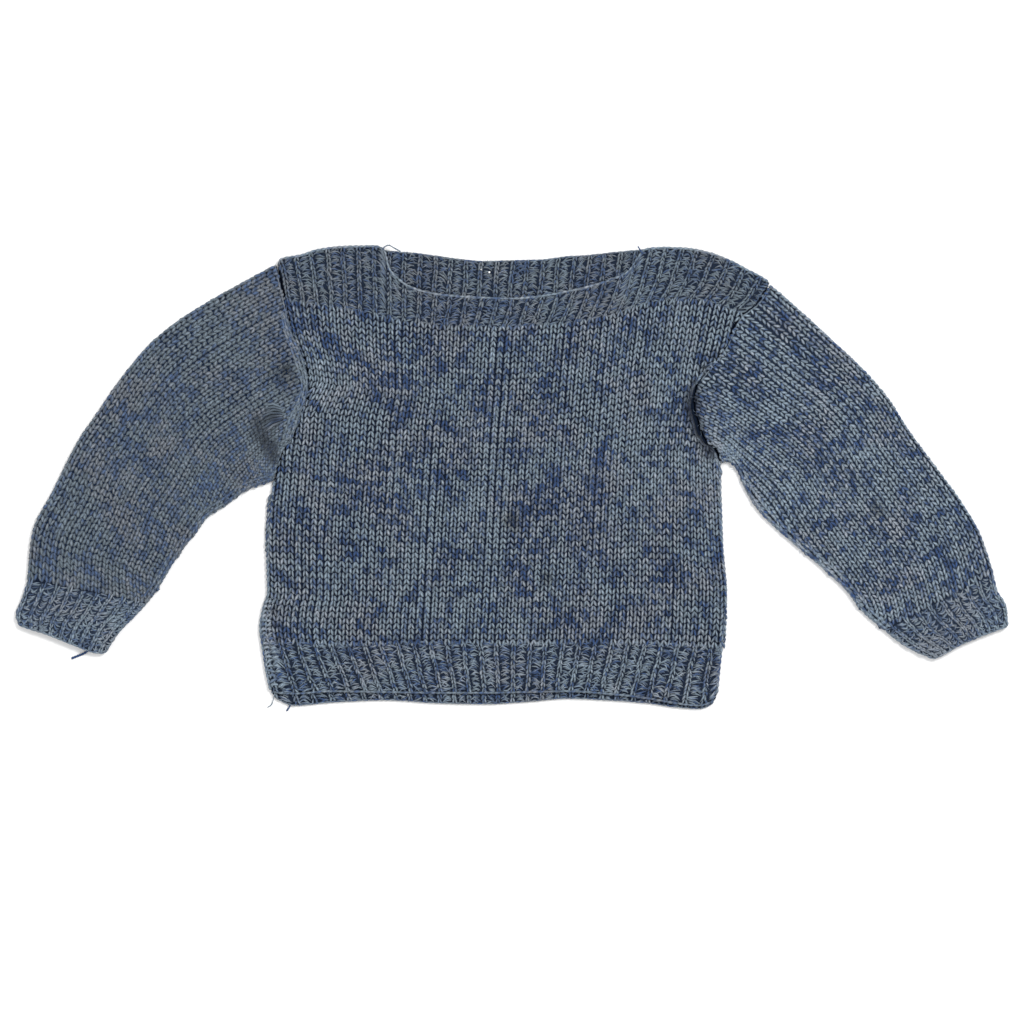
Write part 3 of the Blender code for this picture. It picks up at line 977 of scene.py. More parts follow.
def marl_group():
    """Colour of marled yarn: a grey ply with stretches of blue that run along the rows, with a
    painted highlight on each grain's crest, painted shade on its sides and ends, and a painted
    shade line in the groove between the plies.
    """
    tree, given, made = new_group("Marled yarn")
    socket(tree, "Yarn", "Vector")
    socket(tree, "Place", "Vector")
    socket(tree, "Crest", "Float", default=1.0)
    socket(tree, "Grey", "Color", default=(0.2, 0.22, 0.22, 1))
    socket(tree, "Warm", "Color", default=(0.22, 0.2, 0.22, 1))
    socket(tree, "Blue", "Color", default=(0.03, 0.06, 0.17, 1))
    socket(tree, "Blue Share", "Float", default=0.3)
    socket(tree, "Depth", "Float", default=0.5)
    socket(tree, "Groove", "Float", default=0.5)
    socket(tree, "Color", "Color", inward=False)
    socket(tree, "Roughness", "Float", inward=False)
    socket(tree, "Height", "Float", inward=False)
    yarn, place = given.outputs["Yarn"], given.outputs["Place"]
    split = tree.nodes.new("ShaderNodeSeparateXYZ")
    tree.links.new(yarn, split.inputs[0])
    turn = split.outputs["Z"]

    stretched = vector_node(tree, "MULTIPLY", yarn, STREAK_STRETCH)
    streak = noise_node(tree, stretched, 1.0, 2.0, 0.55)
    patches = noise_node(tree, place, PATCH_SCALE, 2.0)
    wave = math_node(tree, "SINE", times(tree, turn, FULL_TURN), 0.0)
    ply = times(tree, wave, 0.45)
    # Painted shade: a dark line down the groove between the two plies, as strong as the Groove
    # share; the groove also shapes the bump
    groove = ramp_node(tree, math_node(tree, "ABSOLUTE", wave), 0.0, 0.55,
                       minus(tree, 1.0, given.outputs["Groove"]), 1.0)
    level = swing(tree, streak, STREAK_SWING)
    level = plus(tree, level, swing(tree, patches, PATCH_SWING))
    level = plus(tree, level, swing(tree, given.outputs["Blue Share"], SHARE_SWING))
    blue = ramp_node(tree, plus(tree, level, ply), -0.9, 1.5)

    tint = noise_node(tree, place, TINT_SCALE, 2.0, 0.6)
    grain = noise_node(tree, vector_node(tree, "MULTIPLY", yarn, GRAIN_STRETCH), 1.3, 1.0)
    fibre = noise_node(tree, place, FIBRE_SCALE, 2.0, 0.6)
    warm = ramp_node(tree, plus(tree, tint, swing(tree, grain, 0.5)), 0.42, 0.66)
    pale = mix_node(tree, warm, given.outputs["Grey"], given.outputs["Warm"])
    colour = mix_node(tree, blue, pale, given.outputs["Blue"])
    value = plus(tree, times(tree, grain, 1.3), 0.35)
    value = times(tree, value, plus(tree, times(tree, fibre, 0.5), 0.75))
    # Painted highlight and shade: each grain's crest is lightened up to 1.3 times and its sides
    # and ends are darkened by the Depth share
    crest = ramp_node(tree, given.outputs["Crest"], 0.0, 1.0,
                      minus(tree, 1.0, given.outputs["Depth"]), 1.3)
    value = times(tree, times(tree, value, crest), groove)
    shade = tree.nodes.new("ShaderNodeCombineColor")
    for k in range(3):
        tree.links.new(value, shade.inputs[k])
    tree.links.new(mix_node(tree, 1.0, colour, shade.outputs[0], "MULTIPLY"),
                   made.inputs["Color"])
    tree.links.new(plus(tree, times(tree, fibre, 0.16), 0.76), made.inputs["Roughness"])
    height = plus(tree, times(tree, groove, 0.5), times(tree, fibre, 0.9))
    tree.links.new(height, made.inputs["Height"])


def soil_and_shade_spot_group():
    """How much a soft-edged spot round a centre, broken up by noise, covers a place. It masks dirt
    stains and painted shade alike.
    """
    tree, given, made = new_group("Soiled spot")
    socket(tree, "Place", "Vector")
    socket(tree, "Centre", "Vector")
    socket(tree, "Radius", "Float", default=0.01)
    socket(tree, "Mask", "Float", inward=False)
    away = vector_node(tree, "DISTANCE", given.outputs["Place"], given.outputs["Centre"])
    ragged = noise_node(tree, given.outputs["Place"], RAGGED_SCALE, 2.0)
    away = times(tree, away, plus(tree, ragged, 0.5))
    share = math_node(tree, "DIVIDE", away, given.outputs["Radius"])
    tree.links.new(ramp_node(tree, share, 0.25, 1.0, 1.0, 0.0), made.inputs["Mask"])


def group_node(tree, group, **values):
    node = tree.nodes.new("ShaderNodeGroup")
    node.node_tree = group
    for name, value in values.items():
        put(tree, value, node.inputs[name.replace("_", " ")])
    return node


def toned(colour, by):
    return tuple(by * c for c in colour[:3]) + (1.0,)


def blended(colour, other, share):
    return tuple(lerp(a, b, share) for a, b in zip(colour, other))


# Brownish spots on the upper face: place, radius and strength. The first two are dirt stains; the
# last two are painted shade, in the crease at the right elbow and beside the left armhole seam
Spot = namedtuple("Spot", "x y z radius strength")
SPOTS = (
    Spot(-1, -27, 5, 9, 0.55),
    Spot(22, -63, 5, 7, 0.5),
    Spot(230, -20, 6, 8, 0.45),
    Spot(-143, 64, 8, 14, 0.35),
)
# Brownish tone that the dirt stains and the brownish painted crease shade multiply the yarn by
SOIL_AND_SHADE_BROWN = (0.22, 0.19, 0.13, 1.0)
# Dark blue that the painted crease shade multiplies the yarn by
SHADE = (0.06, 0.08, 0.13, 1.0)

# Painted shade: soft darkness painted down in the creases beside the sleeves and the side seam,
# where shade falls
SHADES = (
    Spot(116, 58, 4.5, 6.5, 0.6),
    Spot(114, 51, 4.5, 7.5, 0.95),
    Spot(114, 44, 4.5, 8, 0.97),
    Spot(115.5, 37, 4.5, 8, 0.97),
    Spot(117.5, 30, 4.5, 8, 0.97),
    Spot(120.5, 23.5, 4.5, 8, 0.97),
    Spot(125, 17, 4.5, 8, 0.97),
    Spot(122, 68, 5.5, 7, 0.4),
    Spot(129, 76, 5.5, 6, 0.35),
    Spot(-160, 36, 6, 8, 0.5),
    Spot(-150, 38, 5, 9, 0.7),
    Spot(-158, 28, 6, 10, 0.7),
    Spot(-153.5, 20, 6, 9, 0.75),
    Spot(-149, 12, 6, 7, 0.7),
    Spot(-142.5, 68, 8, 6, 0.5),
    Spot(-150, -84, 5, 3.5, 0.6),
    Spot(-149, -93, 5, 3.5, 0.6),
    Spot(-147.5, -102, 5, 3.5, 0.6),
    Spot(-145, -111, 5, 3.5, 0.5),
    Spot(-142.5, -120, 5, 3.5, 0.4),
)


def new_material(name):
    """Makes a material and gives its node tree and its shader."""
    material = bpy.data.materials.new(name)
    material.use_nodes = True
    return material.node_tree, material.node_tree.nodes["Principled BSDF"]


def add_bump(tree, shader, height, strength, distance):
    bump = tree.nodes.new("ShaderNodeBump")
    bump.inputs["Strength"].default_value = strength
    bump.inputs["Distance"].default_value = distance
    tree.links.new(height, bump.inputs["Height"])
    tree.links.new(bump.outputs["Normal"], shader.inputs["Normal"])


def attribute_node(tree, name):
    node = tree.nodes.new("ShaderNodeAttribute")
    node.attribute_name = name
    return node


def yarn_material(name, grey, warm, blue, share, depth, groove=0.5, stained_and_shaded=True):
    tree, shader = new_material(name)
    shader.inputs["Sheen Weight"].default_value = 0.12
    shader.inputs["Sheen Roughness"].default_value = 0.5
    shader.inputs["Sheen Tint"].default_value = (0.75, 0.85, 1.0, 1.0)
    shader.inputs["Specular IOR Level"].default_value = 0.3
    yarn, crest = attribute_node(tree, "yarn"), attribute_node(tree, "crest")
    place = tree.nodes.new("ShaderNodeTexCoord").outputs["Object"]
    marl = group_node(
        tree, bpy.data.node_groups["Marled yarn"], Yarn=yarn.outputs["Vector"], Place=place,
        Crest=crest.outputs["Fac"], Grey=grey, Warm=warm, Blue=blue, Blue_Share=share,
        Depth=depth, Groove=groove,
    )
    colour = marl.outputs["Color"]
    # Painted shade in the creases, and dirt stains: each spot multiplies the colour by its tone
    # within a ragged mask
    spots = [(spot, SHADE) for spot in SHADES] + [(spot, SOIL_AND_SHADE_BROWN) for spot in SPOTS]
    for spot, tone in spots if stained_and_shaded else ():
        stain_and_shade_spot = group_node(
            tree, bpy.data.node_groups["Soiled spot"], Place=place,
            Centre=(spot.x * MM, spot.y * MM, spot.z * MM), Radius=spot.radius * MM,
        )
        mask = times(tree, stain_and_shade_spot.outputs["Mask"], spot.strength)
        colour = mix_node(tree, mask, colour, tone, "MULTIPLY")
    tree.links.new(colour, shader.inputs["Base Color"])
    tree.links.new(marl.outputs["Roughness"], shader.inputs["Roughness"])
    add_bump(tree, shader, marl.outputs["Height"], 0.6, 0.25 * MM)


def deep_shade_material(name, colour):
    """Painted shade: the yarn deep between the stitches, coloured far darker than the yarn's own
    colour for the shade down there.
    """
    tree, shader = new_material(name)
    shader.inputs["Specular IOR Level"].default_value = 0.1
    place = tree.nodes.new("ShaderNodeTexCoord").outputs["Object"]
    uneven = noise_node(tree, place, DEPTH_SCALE, 3.0, 0.6)
    tree.links.new(mix_node(tree, uneven, toned(colour, 0.5), toned(colour, 1.5)),
                   shader.inputs["Base Color"])
    tree.links.new(plus(tree, times(tree, uneven, 0.1), 0.87), shader.inputs["Roughness"])
    add_bump(tree, shader, uneven, 0.5, 0.4 * MM)


# Settings


class PulloverGauge(bpy.types.PropertyGroup):
    """Sizes of the knitting."""

    stitches: IntProperty(
        name="Stitches", description="Stitches across the body", default=64, min=20, max=120)
    rows: IntProperty(
        name="Rows", description="Rows from the hem ribbing to the neck", default=59, min=20)
    row_height: FloatProperty(
        name="Row height", description="Height of a stocking-stitch row", default=0.00346,
        unit="LENGTH", subtype="DISTANCE", precision=5)
    stitch_width: FloatProperty(
        name="Stitch width", description="Width of a stocking stitch", default=0.00454,
        unit="LENGTH", subtype="DISTANCE", precision=5)
    rib_row: FloatProperty(
        name="Rib row height", description="Height of a row in the ribbing", default=0.0028,
        unit="LENGTH", subtype="DISTANCE", precision=5)
    hem_ribs: IntProperty(name="Hem ribs", description="Ribs across the hem", default=28)
    neck_ribs: IntProperty(name="Neck ribs", description="Ribs across the neck", default=32)
    cuff_ribs: IntProperty(name="Cuff ribs", description="Ribs across a cuff", default=9)


class PulloverYarn(bpy.types.PropertyGroup):
    """Colours of the marled yarn."""

    grey: FloatVectorProperty(
        name="Grey ply", description="Main colour of the yarn", subtype="COLOR", size=4,
        default=(0.172, 0.223, 0.272, 1.0), min=0, max=1)
    warm: FloatVectorProperty(
        name="Warm ply", description="Warmer stretches of the main colour", subtype="COLOR",
        size=4, default=(0.194, 0.219, 0.256, 1.0), min=0, max=1)
    blue: FloatVectorProperty(
        name="Blue ply", description="Colour of the blue stretches", subtype="COLOR", size=4,
        default=(0.021, 0.05, 0.132, 1.0), min=0, max=1)
    # Painted shade: the colour given to the yarn deep between the stitches, far darker than the
    # yarn's own
    depth: FloatVectorProperty(
        name="Depth", description="Yarn deep between the stitches", subtype="COLOR", size=4,
        default=(0.0035, 0.0078, 0.019, 1.0), min=0, max=1)
    share: FloatProperty(
        name="Blue share", description="How much of the yarn is blue", default=0.4,
        min=0, max=1, subtype="FACTOR")


# Two specks of white lint inside the neck
Speck = namedtuple("Speck", "x y z radius")
LINT = (Speck(-19.5, 131.0, 3.6, 0.4), Speck(-14.3, 129.3, 3.6, 0.7))
LINT_WHITE = (0.8, 0.8, 0.8, 1.0)
ALL_BLUE = 1.0


def gauge():
    return bpy.context.scene.pullover_gauge


def yarn_settings():
    return bpy.context.scene.pullover_yarn


def body_faces(layer, upper):
    """The faces of a layer's hem, panel and neckband."""
    g = gauge()
    hem = (LEFT_EDGE[0].y, RIGHT_EDGE[0].y)
    rib_top = (LEFT_EDGE[2].y, RIGHT_EDGE[2].y)
    neck = (
        lerp(LEFT_EDGE[-1].y, LEFT_UNDERARM, NECK_RIB_SHARE),
        lerp(RIGHT_EDGE[-1].y, RIGHT_UNDERARM, NECK_RIB_SHARE),
    )
    tip = (LEFT_EDGE[-1].y, RIGHT_EDGE[-1].y)
    return {
        "hem": BodyFace(layer, HEM_EDGE, HEM_RIB_END, hem, rib_top, g.hem_ribs, 1, upper),
        "panel": BodyFace(layer, HEM_RIB_END, NECK_RIB_END, rib_top, neck, g.stitches, g.rows,
                          upper),
        "neck": BodyFace(layer, NECK_RIB_END, TOP_EDGE, neck, tip, g.neck_ribs, 1, upper),
    }


def sleeve_face(side, upper):
    g = gauge()
    table, underarm, sections = {
        "left": (LEFT_EDGE, LEFT_UNDERARM, LEFT_SLEEVE),
        "right": (RIGHT_EDGE, RIGHT_UNDERARM, RIGHT_SLEEVE),
    }[side]
    seam = (table, table[-1].y, underarm, "front" if upper else "back")
    return SleeveFace(sections, upper, seam=seam, stitch=g.stitch_width / MM,
                      row=g.row_height / MM)


def cuff_face(side, upper):
    g = gauge()
    sections = LEFT_CUFF if side == "left" else RIGHT_CUFF
    return CuffFace(sections, upper, bow=side, columns=g.cuff_ribs, rows=1)


def settle(obj, node):
    """Puts a finished piece on the body, in place of its node."""
    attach(obj, BODY)
    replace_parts(obj, node)


def lay(name, grains, shape, material, node):
    """Makes a piece of yarn in a named material and settles it in place of its node."""
    settle(grain_piece(name, grains, shape, bpy.data.materials[material]), node)


class PULLOVER_OT_yarn(bpy.types.Operator):
    """Makes the node groups and materials of the yarn"""

    bl_idname = "pullover.yarn"
    bl_label = "Yarn"

    def execute(self, context):
        marl_group()
        soil_and_shade_spot_group()
        y = yarn_settings()
        grey, warm, blue = tuple(y.grey), tuple(y.warm), tuple(y.blue)
        soft_grey, soft_warm = toned(grey, 0.61), toned(warm, 0.63)
        soft_blue = blended(blue, soft_grey, 0.28)
        paler = toned(grey, 1.1)
        # Depth and groove set how far painted shade darkens each grain's sides and ends and the
        # groove between its plies; the last flag lays on the painted crease shade and the dirt
        # stains
        for name, main, warmer, bluer, share, depth, groove, stained_and_shaded in (
            ("front_yarn", grey, warm, blue, 1.0, 0.5, 0.5, True),
            ("back_yarn", grey, warm, blue, 1.0, 0.5, 0.5, False),
            ("left_sleeve_yarn", soft_grey, soft_warm, soft_blue, 0.95, 0.4, 0.5, True),
            ("right_sleeve_yarn", toned(grey, 1.02), warm, blue, 0.95, 0.35, 0.5, True),
            ("rib_yarn", toned(grey, 0.95), toned(warm, 0.95), blended(blue, grey, 0.05), 1.1,
             0.45, 0.5, False),
            ("neck_yarn", toned(grey, 0.7), toned(warm, 0.66), blended(blue, soft_grey, 0.2),
             1.0, 0.4, 0.5, False),
            ("cuff_yarn", toned(grey, 0.9), toned(warm, 0.85), soft_blue, 1.0, 0.15, 0.4, False),
            ("selvage_yarn", toned(grey, 0.6), soft_warm, soft_blue, 0.7, 0.1, 0.5, True),
            ("edge_yarn", toned(grey, 0.88), toned(warm, 0.9), soft_blue, 0.5, 0.3, 0.5, False),
            ("fuzz_yarn", paler, paler, blue, 0.0, 0.0, 0.0, False),
            ("lint_white", LINT_WHITE, LINT_WHITE, LINT_WHITE, 0.0, 0.0, 0.0, False),
            ("dark_yarn", blue, blue, blue, ALL_BLUE / y.share, 0.4, 0.5, False),
        ):
            yarn_material(name, main, warmer, bluer, y.share * share, depth, groove, stained_and_shaded)
        # Painted shade between the stitches in each part: the depth colour made paler by a share,
        # with a little of the grey
        for name, paleness, greyness in (
            ("deep_yarn", 1.0, 0.0), ("deep_band_yarn", 1.2, 0.03),
            ("deep_right_yarn", 1.4, 0.03), ("deep_left_yarn", 1.6, 0.0),
            ("deep_cuff_yarn", 1.6, 0.07),
        ):
            parts = zip(toned(y.depth, paleness), toned(grey, greyness))
            deep_shade_material(name, toned([sum(pair) for pair in parts], 1.0))
        return {"FINISHED"}


class PULLOVER_OT_cloth(bpy.types.Operator):
    """Makes the thin cloth that the stitches lie on, one piece for each knitted part, coloured
    with the painted shade of the yarn deep between the stitches
    """

    bl_idname = "pullover.cloth"
    bl_label = "Cloth"

    def execute(self, context):
        for layer in ("front", "back"):
            upper = body_faces(layer, True)
            for part, columns, rows, name, deep, slot in (
                ("hem", 84, 10, "hem_" + layer, "deep_band_yarn", "band_yarn"),
                ("panel", 72, 60, layer, "deep_yarn", "body_yarn"),
                ("neck", 96, 12, "neckband_" + layer, "deep_band_yarn", "band_yarn"),
            ):
                face = upper[part]
                inset = CLOTH_INSET / BODY_WIDTH
                u, v = np.meshgrid(
                    np.linspace(inset, 1 - inset, columns + 1) * face.columns,
                    np.linspace(0, 1, rows + 1) * face.rows, indexing="ij")
                over = face.point(u, v)
                under = over.copy()
                if layer == "back":
                    under = body_faces(layer, False)[part].point(u, v)
                else:
                    under[..., 2] = np.maximum(over[..., 2] - CLOTH_WALL, BACK_OVER + CLOTH_GAP)
                obj = cloth_piece("cloth_" + name, columns, rows, over, under,
                                  bpy.data.materials[deep])
                settle(obj, name)
        for side in ("left", "right"):
            for kind, make, columns, rows, deep, slot in (
                ("sleeve", sleeve_face, 34, 60, "deep_" + side + "_yarn", "body_yarn"),
                ("cuff", cuff_face, 24, 8, "deep_cuff_yarn", "band_yarn"),
            ):
                tops, bottoms = make(side, True), make(side, False)
                c = np.linspace(0, 1, columns + 1)
                t = np.linspace(0, 1, rows + 1)
                outer, inner = [], []
                for face, shares in ((tops, c), (bottoms, c[::-1][1:])):
                    grid_c, grid_t = np.meshgrid(shares, t, indexing="ij")
                    inset = CLOTH_INSET / face.width(grid_t)
                    outer.append(face.at(lerp(inset, 1 - inset, grid_c), grid_t))
                    lining = face.at(lerp(2 * inset, 1 - 2 * inset, grid_c), grid_t)
                    depth = np.maximum(face.out * (lining[..., 2] - FOLD_LEVEL) - CLOTH_WALL,
                                       LINING_GAP)
                    lining[..., 2] = FOLD_LEVEL + face.out * depth
                    inner.append(lining)
                for grid in (outer, inner):
                    grid[1][-1] = grid[0][0]
                obj = cloth_piece("cloth_" + kind + "_" + side, 2 * columns, rows,
                                  np.concatenate(outer), np.concatenate(inner),
                                  bpy.data.materials[deep], tube=True)
                settle(obj, kind + "_" + side)
        return {"FINISHED"}


class PULLOVER_OT_stocking_stitch(bpy.types.Operator):
    """Knits the panels and the sleeves in stocking stitch"""

    bl_idname = "pullover.stocking_stitch"
    bl_label = "Stocking stitch"

    def execute(self, context):
        g = gauge()
        full, plain = grain_shape(4, 4), grain_shape(4, 3)
        for layer, upper, shape, material, seed in (
            ("front", True, full, "front_yarn", 11),
            ("back", False, plain, "back_yarn", 12),
        ):
            face = body_faces(layer, upper)["panel"]
            spare = 6
            column, row = np.meshgrid(np.arange(-spare, g.stitches + spare) + 0.5,
                                      np.arange(g.rows + 1) - 0.5, indexing="ij")
            column, row = column.ravel(), row.ravel().astype(float)
            face.follow, face.power, face.sway = (0.85, 0.1), STITCH_BEND_POWER, HEM_SWAY
            face.creased = layer == "front"
            middle = face.point(column, row + 0.5)
            x, y = middle[:, 0], middle[:, 1]
            kept = face.from_side(x, y) > np.where(y > RIGHT_UNDERARM, -0.7, 0.4)
            column, row = column[kept], row[kept]
            grains = knit_stitches(face, column, row, seed)
            lay(layer + "_knit", grains, shape, material, layer)
        for side, seed, thick, fullness in (("left", 21, 1.3, 0.5), ("right", 22, 1.05, 0.7)):
            for upper, shape in ((True, full), (False, plain)):
                face = sleeve_face(side, upper)
                columns = int(face.reach / face.stitch) + 1
                rows = int(face.longest / face.row) + 1
                column, row = np.meshgrid(np.arange(columns) + 0.5, np.arange(rows),
                                          indexing="ij")
                column, row = column.ravel(), row.ravel().astype(float)
                distance = column * face.stitch
                length = np.interp(distance, face.distances, face.lengths)
                t = face.share_along(distance, (row + 0.5) * face.row)
                kept = distance + 0.3 * face.stitch < face.width(t)
                kept &= (row + 0.3) * face.row < length
                grains = knit_stitches(face, column[kept], row[kept], seed + upper, thick,
                                       fullness)
                seam = self.seam_column(face, seed)
                name = "sleeve_" + side + ("_knit" if upper else "_knit_under")
                lay(name, joined([grains, seam]), shape, side + "_sleeve_yarn",
                    "sleeve_" + side)
        return {"FINISHED"}

    def seam_column(self, face, seed):
        """Stitches that follow the inner seam, where the columns run out."""
        t = np.linspace(0.02, 1, 300)
        normals = self.normals_near(face, t)
        parts = []
        for k, offset in enumerate((0.45, 1.05)):
            line = face.at(1 - offset * face.stitch / face.width(t), t)
            line = line + normals * 0.45
            parts.append(chain(line, normals, CAST_OFF_LINK, 1.1, 0.7, seed + 3 + k))
        return joined(parts)

    def normals_near(self, face, t):
        c = 1 - 0.5 * face.stitch / face.width(t)
        e = 0.004
        across = face.at(c + e, t) - face.at(c - e, t)
        along = face.at(c, np.clip(t + e, 0, 1)) - face.at(c, np.clip(t - e, 0, 1))
        return facing(across, along, face.out)


class PULLOVER_OT_ribs(bpy.types.Operator):
    """Knits the ribbing of hem, neck and cuffs"""

    bl_idname = "pullover.ribs"
    bl_label = "Ribs"

    def execute(self, context):
        g = gauge()
        full, plain = grain_shape(4, 4), grain_shape(4, 3)
        row_height = g.rib_row / MM
        faces = ((True, full, "_ribs"), (False, plain, "_ribs_under"))
        for layer in ("front", "back"):
            for part, node in (("hem", "hem_" + layer), ("neck", "neckband_" + layer)):
                for upper, shape, ending in faces[:1] if layer == "front" else faces:
                    face = body_faces(layer, upper)[part]
                    seed = 31 + (part == "neck") + 2 * (layer == "back") + 4 * upper
                    grains = self.band(face, row_height, seed, 4 if upper else 2)
                    if layer == "back" and upper:
                        middle = grains.paths[:, 1]
                        x, y = middle[:, 0], middle[:, 1]
                        if part == "hem":
                            seen = y < line_y(HEM_EDGE, "front", x) + 3.0
                        else:
                            seen = y > line_y(TOP_EDGE, "front", x) - 4.0
                        grains = Grains(*(value[seen] for value in grains))
                    yarn = "rib_yarn" if part == "hem" else "neck_yarn"
                    lay(node + ending, grains, shape, yarn, node)
        for side in ("left", "right"):
            for upper, shape, ending in faces:
                face = cuff_face(side, upper)
                grains = self.band(face, row_height, 51 + upper + 2 * (side == "left"),
                                   3 if upper else 2)
                lay("cuff_" + side + ending, grains, shape, "cuff_yarn",
                    "cuff_" + side)
        return {"FINISHED"}

    def band(self, face, row_height, seed, slivers):
        """Ribs of as many rows as the band is high at each place."""
        kinds = []
        for offset in (KNIT_AT, PURL_AT):
            stitches = []
            for at in np.arange(face.columns) + offset:
                ends = face.point(np.array([at, at]), np.array([0.0, face.rows]))
                height = np.linalg.norm(ends[1] - ends[0])
                count = max(int(round(height / row_height)), 1)
                rows = np.arange(count) * face.rows / count
                stitches.append((np.full(count, at), rows, np.full(count, face.rows / count)))
            kinds.append([np.concatenate(values) for values in zip(*stitches)])
        return rib_columns(face, *kinds, slivers, seed)


def rib_columns(face, knit, purl, slivers, seed, ridge=0.4):
    """Narrow raised knit columns, and purl bumps across the valleys between them. Each of
    knit and purl holds the stitches' columns, rows and row heights, counted in ribs. Slivers
    is the number of strands that show in each purl stitch."""
    rng = np.random.default_rng(seed)
    parts = []
    at, row, step = knit
    count = len(at)
    sway = 0.06 * wander(seed, at * 2.7, row / step * 0.5)
    for sign in (-1, 1):
        shake = rng.normal(0, 0.02, (3, count))
        columns = [np.clip(at + sway + sign * offset + shake[n], 0.05, face.columns - 0.1)
                   for n, offset in enumerate(KNIT_OFFSETS)]
        rows = [row + step * (offset + 6 * shake[n]) for n, offset in enumerate(KNIT_HEIGHTS)]
        rows = [np.clip(r, -0.02 * face.rows, face.rows) for r in rows]
        yarn = np.stack([at + 0.25 * sign, row / step, rng.uniform(0, 1, count)], -1)
        yarn[:, :2] += seed * SEED_SHIFT
        width = KNIT_WIDTH * (1 + rng.normal(0, 0.14, count))
        middle = ridge + 0.25 + rng.normal(0, 0.15, count)
        parts.append(path_grains(face, columns, rows, (ridge - 0.5, middle, ridge - 0.5),
                                 width, KNIT_HEIGHT, yarn))
    at, row, step = purl
    count = len(at)
    sway = 0.06 * wander(seed, at * 2.7, row / step * 0.5)
    thin = 1.05 / slivers ** 0.5
    for strand in range(slivers):
        tilt = rng.normal(0, 0.45, count) * step
        bend = rng.uniform(-0.1, 0.85, count) * step
        reach = PURL_REACH * (1 + rng.normal(0, 0.2, count))
        slide = rng.normal(0, 0.07, count)
        columns = [np.clip(at + sway + slide + k * reach, 0.05, face.columns - 0.12)
                   for k in (-1, 0, 1)]
        level = row + (0.1 + strand / slivers) * step
        rows = [level - tilt, level + bend, level + tilt]
        rows = [np.clip(r, 0, face.rows) for r in rows]
        yarn = np.stack([at, row / step + strand / slivers, rng.uniform(0, 1, count)], -1)
        yarn[:, :2] += seed * SEED_SHIFT
        height = 0.9 * thin * (1 + rng.normal(0, 0.1, count))
        middle = 0.6 + rng.normal(0, 0.22, count)
        parts.append(path_grains(face, columns, rows, (-0.1, middle, -0.1),
                                 thin * (1 + rng.normal(0, 0.15, count)), height, yarn))
    return joined(parts)


